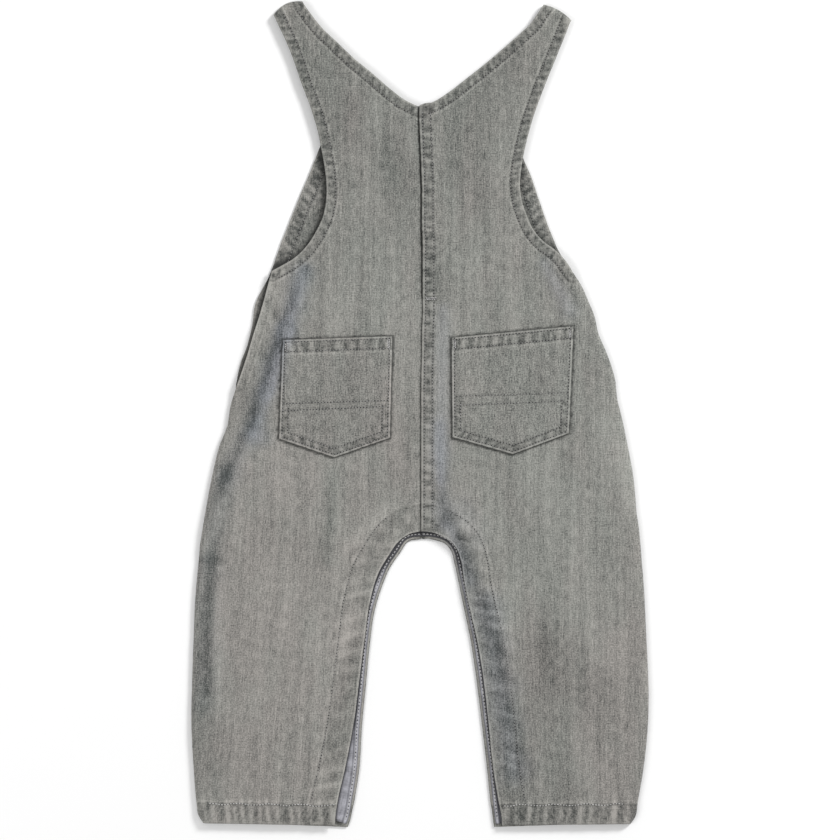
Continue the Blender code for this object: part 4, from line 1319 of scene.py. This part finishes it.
def back_seam_lines(panel):
    """The topstitching of one back panel, its hem aside."""
    lines = [panel.beside(ARMHOLE, STRAP_BAND.stitch, 1.0), panel.beside(NECK, STRAP_BAND.stitch, 3.0)]
    lines.append(panel.beside(INSEAM, INSEAM_BAND.stitch, 13.0, -12.0))
    if panel.side > 0:
        lines += [panel.beside(CENTRE, row, 1.5, -3.0) for row in CENTRE_ROWS]
    return [on_top(line, top_of(panel)) for line in lines]


def hem_line(panel):
    """The row of stitches that holds the hem of a leg."""
    outer, inner = panel.edges["hem"]
    along = (inner - outer) / np.linalg.norm(inner - outer)
    up = np.array((-along[1], along[0])) * -panel.side
    line = np.linspace(outer + along * 4.5, inner - along * 1.0, 150) + up * HEM_BAND.stitch
    line[:, 1] += 0.25 * (np.arange(len(line)) % 2) + 0.5 * np.sin(line[:, 0] * 0.31)
    return line


def pocket_lines(shape):
    """Topstitching of a pocket: its sides and point, its hem, and the two rows across it."""
    outline = pocket_outline(shape)
    middle = outline[:-1].mean(axis=0)
    inside = inset_outline(outline[:-1], middle, POCKET_EDGE_STITCH)
    lines = [dense(inside, 1.0)]
    inner = inset_outline(outline[:-1], middle, POCKET_POINT_BAND)
    for end, corner, share in ((0, 1, shape.rows[1][0]), (-1, -2, shape.rows[1][1])):
        inner[end] = inner[corner] + (inner[end] - inner[corner]) * (1 - share - 0.02)
    lines.append(dense(inner, 1.0))
    top = outline[-2:]
    step = (top[1] - top[0]) / np.linalg.norm(top[1] - top[0])
    down = np.array((-step[1], step[0]))
    if (middle - top[0]) @ down < 0:
        down = -down
    for row in POCKET_HEM_ROWS:
        lines.append(dense(np.array((top[0] + step * 2.2, top[1] - step * 2.2)) + down * row, 1.0))
    lines += pocket_rows(shape)
    return [on_top(line, pocket_top(shape)) for line in lines]


def inset_outline(corners, middle, distance):
    """An open outline moved in by a distance, with its corners where the moved sides meet."""
    sides = []
    for start, end in zip(corners, corners[1:]):
        step = (end - start) / np.linalg.norm(end - start)
        square = np.array((-step[1], step[0]))
        if (middle - start) @ square < 0:
            square = -square
        sides.append((start + square * distance, step))
    moved = [sides[0][0] + sides[0][1] * 0.8]
    for (start, step), (other, turn) in zip(sides, sides[1:]):
        share = np.linalg.solve(np.column_stack((step, -turn)), other - start)[0]
        moved.append(start + step * share)
    last, step = sides[-1]
    moved.append(last + step * (np.linalg.norm(corners[-1] - corners[-2]) - 0.8))
    return np.array(moved)


def dense(corners, step):
    """The same line with a point about every step."""
    out = []
    for start, end in zip(corners, corners[1:]):
        count = max(1, int(np.linalg.norm(end - start) / step))
        out += [start + (end - start) * k / count for k in range(count)]
    return np.array(out + [corners[-1]])


back_lines = back_seam_lines(back_left) + back_seam_lines(back_right)
pocket_stitches = pocket_lines(LEFT_POCKET) + pocket_lines(RIGHT_POCKET)
stitch_piece("stitching_back", back_lines, CLOTH_THREAD)
stitch_piece("stitching_pockets", pocket_stitches, CLOTH_THREAD)
hem_lines = [on_top(hem_line(panel), top_of(panel)) for panel in (back_left, back_right)]
stitch_piece("stitching_hems", hem_lines, PALE_THREAD, pitch=2.1, length=1.7, thickness=0.62)

tack_lines = [
    on_top(bar_tack((4.0, 73.6), (10.4, 73.8), 1.4), top_of(back_right)),
    on_top(bar_tack((-85.6, 45.0), (-85.8, 40.2), 1.4), pocket_top(LEFT_POCKET)),
    on_top(bar_tack((-20.0, 47.6), (-20.1, 42.0), 1.4), pocket_top(LEFT_POCKET)),
    on_top(bar_tack((22.4, 47.0), (22.4, 42.0), 1.4), pocket_top(RIGHT_POCKET)),
    on_top(bar_tack((96.0, 53.8), (95.8, 48.8), 1.4), pocket_top(RIGHT_POCKET)),
]
stitch_piece("bar_tacks", tack_lines, PALE_THREAD, pitch=1.0, length=1.5, thickness=0.45)

facing_lines = []
for panel in (front_left, front_right):
    line = panel.beside(INSEAM, FACING_SETBACK + 1.5, 4.0)
    facing_lines.append(np.column_stack((line, np.full(len(line), INNER_STRIP_TOP + 0.05))))
stitch_piece("stitching_facings", facing_lines, PALE_THREAD, pitch=2.3, length=2.0, thickness=0.6)


def front_lines(panel):
    """Topstitching of a front panel, seen from below and inside the armholes."""
    lines = [panel.beside(ARMHOLE, BIB_BAND.stitch, 4.0, -1.0)]
    lines.append(hem_line(panel))
    top, end = panel.edges["bib"]
    lines.append(np.linspace(top, end, 40) - np.array((0.0, BIB_BAND.stitch)))
    lines.append(panel.beside(INSEAM, 14.0, 13.0, -12.0))
    if panel.side > 0:
        lines += [panel.beside(CENTRE, row, 1.5, -3.0) for row in CENTRE_ROWS]
    return lines


def front_height(panel, line):
    return front_surface(panel, line)[0] * PRESSED


under_lines, inside_lines = [], []
for panel in (front_left, front_right):
    for line in front_lines(panel):
        under_lines.append(np.column_stack((line, front_height(panel, line) + UNDER_STITCH_LIFT)))
    inside = panel.beside(ARMHOLE, BIB_BAND.stitch, 4.0, -1.0)
    top = front_height(panel, inside) + CLOTH - UNDER_STITCH_LIFT
    inside_lines.append(np.column_stack((inside, top)))
stitch_piece("stitching_front", under_lines, CLOTH_THREAD)
stitch_piece("stitching_bib_inside", inside_lines, CLOTH_THREAD)

# Floor, light and camera: each light's place, size and watts
KEY_LIGHT = ((1.6, 1.4, 1.3), 0.7, 49.0)
FILL_LIGHT = ((-1.6, -0.6, 1.6), 1.2, 16.0)
SKY_STRENGTH = 0.52
FLOOR_SIZE = 6.0
FLOOR_DROP = 0.0004
CAMERA_HEIGHT = 3.0
VIEW_MIDDLE_Y = -0.00384
FRAME_WIDTH = 0.5376
SENSOR = 36.0


def studio():
    mesh = bpy.data.meshes.new("floor")
    half = FLOOR_SIZE / 2
    signs = ((-1, -1), (1, -1), (1, 1), (-1, 1))
    mesh.from_pydata([(half * x, half * y, -FLOOR_DROP) for x, y in signs], [], [(0, 1, 2, 3)])
    mesh.materials.append(pale_floor("pale_floor"))
    floor = bpy.data.objects.new("floor", mesh)
    bpy.context.scene.collection.objects.link(floor)
    world = bpy.data.worlds.new("studio")
    world.use_nodes = True
    world.node_tree.nodes["Background"].inputs["Color"].default_value = (1.0, 1.0, 1.0, 1.0)
    world.node_tree.nodes["Background"].inputs["Strength"].default_value = SKY_STRENGTH
    bpy.context.scene.world = world
    soft_light("key_light", *KEY_LIGHT)
    soft_light("fill_light", *FILL_LIGHT)
    camera = bpy.data.cameras.new("camera")
    camera.sensor_width = SENSOR
    camera.lens = SENSOR * (CAMERA_HEIGHT - BACK_TOP * MM) / FRAME_WIDTH
    camera.clip_end = 50.0
    viewer = bpy.data.objects.new("camera", camera)
    viewer.location = (0.0, VIEW_MIDDLE_Y, CAMERA_HEIGHT)
    bpy.context.scene.collection.objects.link(viewer)
    bpy.context.scene.camera = viewer
    bpy.context.scene.view_settings.view_transform = "Standard"
    return floor


def soft_light(name, place, size, watts):
    light = bpy.data.lights.new(name, "AREA")
    light.shape = "DISK"
    light.size = size
    light.energy = watts
    lamp = bpy.data.objects.new(name, light)
    lamp.location = place
    lamp.rotation_euler = (-Vector(place)).to_track_quat("-Z", "Y").to_euler()
    bpy.context.scene.collection.objects.link(lamp)


floor = studio()

# What each piece stands for
for cut in CUTS:
    piece = cloth[cut.node]
    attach(piece, "root")
    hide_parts(cut.node)
for cut in CUTS:
    rests_on = floor if cut.rests_on == "floor" else cloth[cut.rests_on]
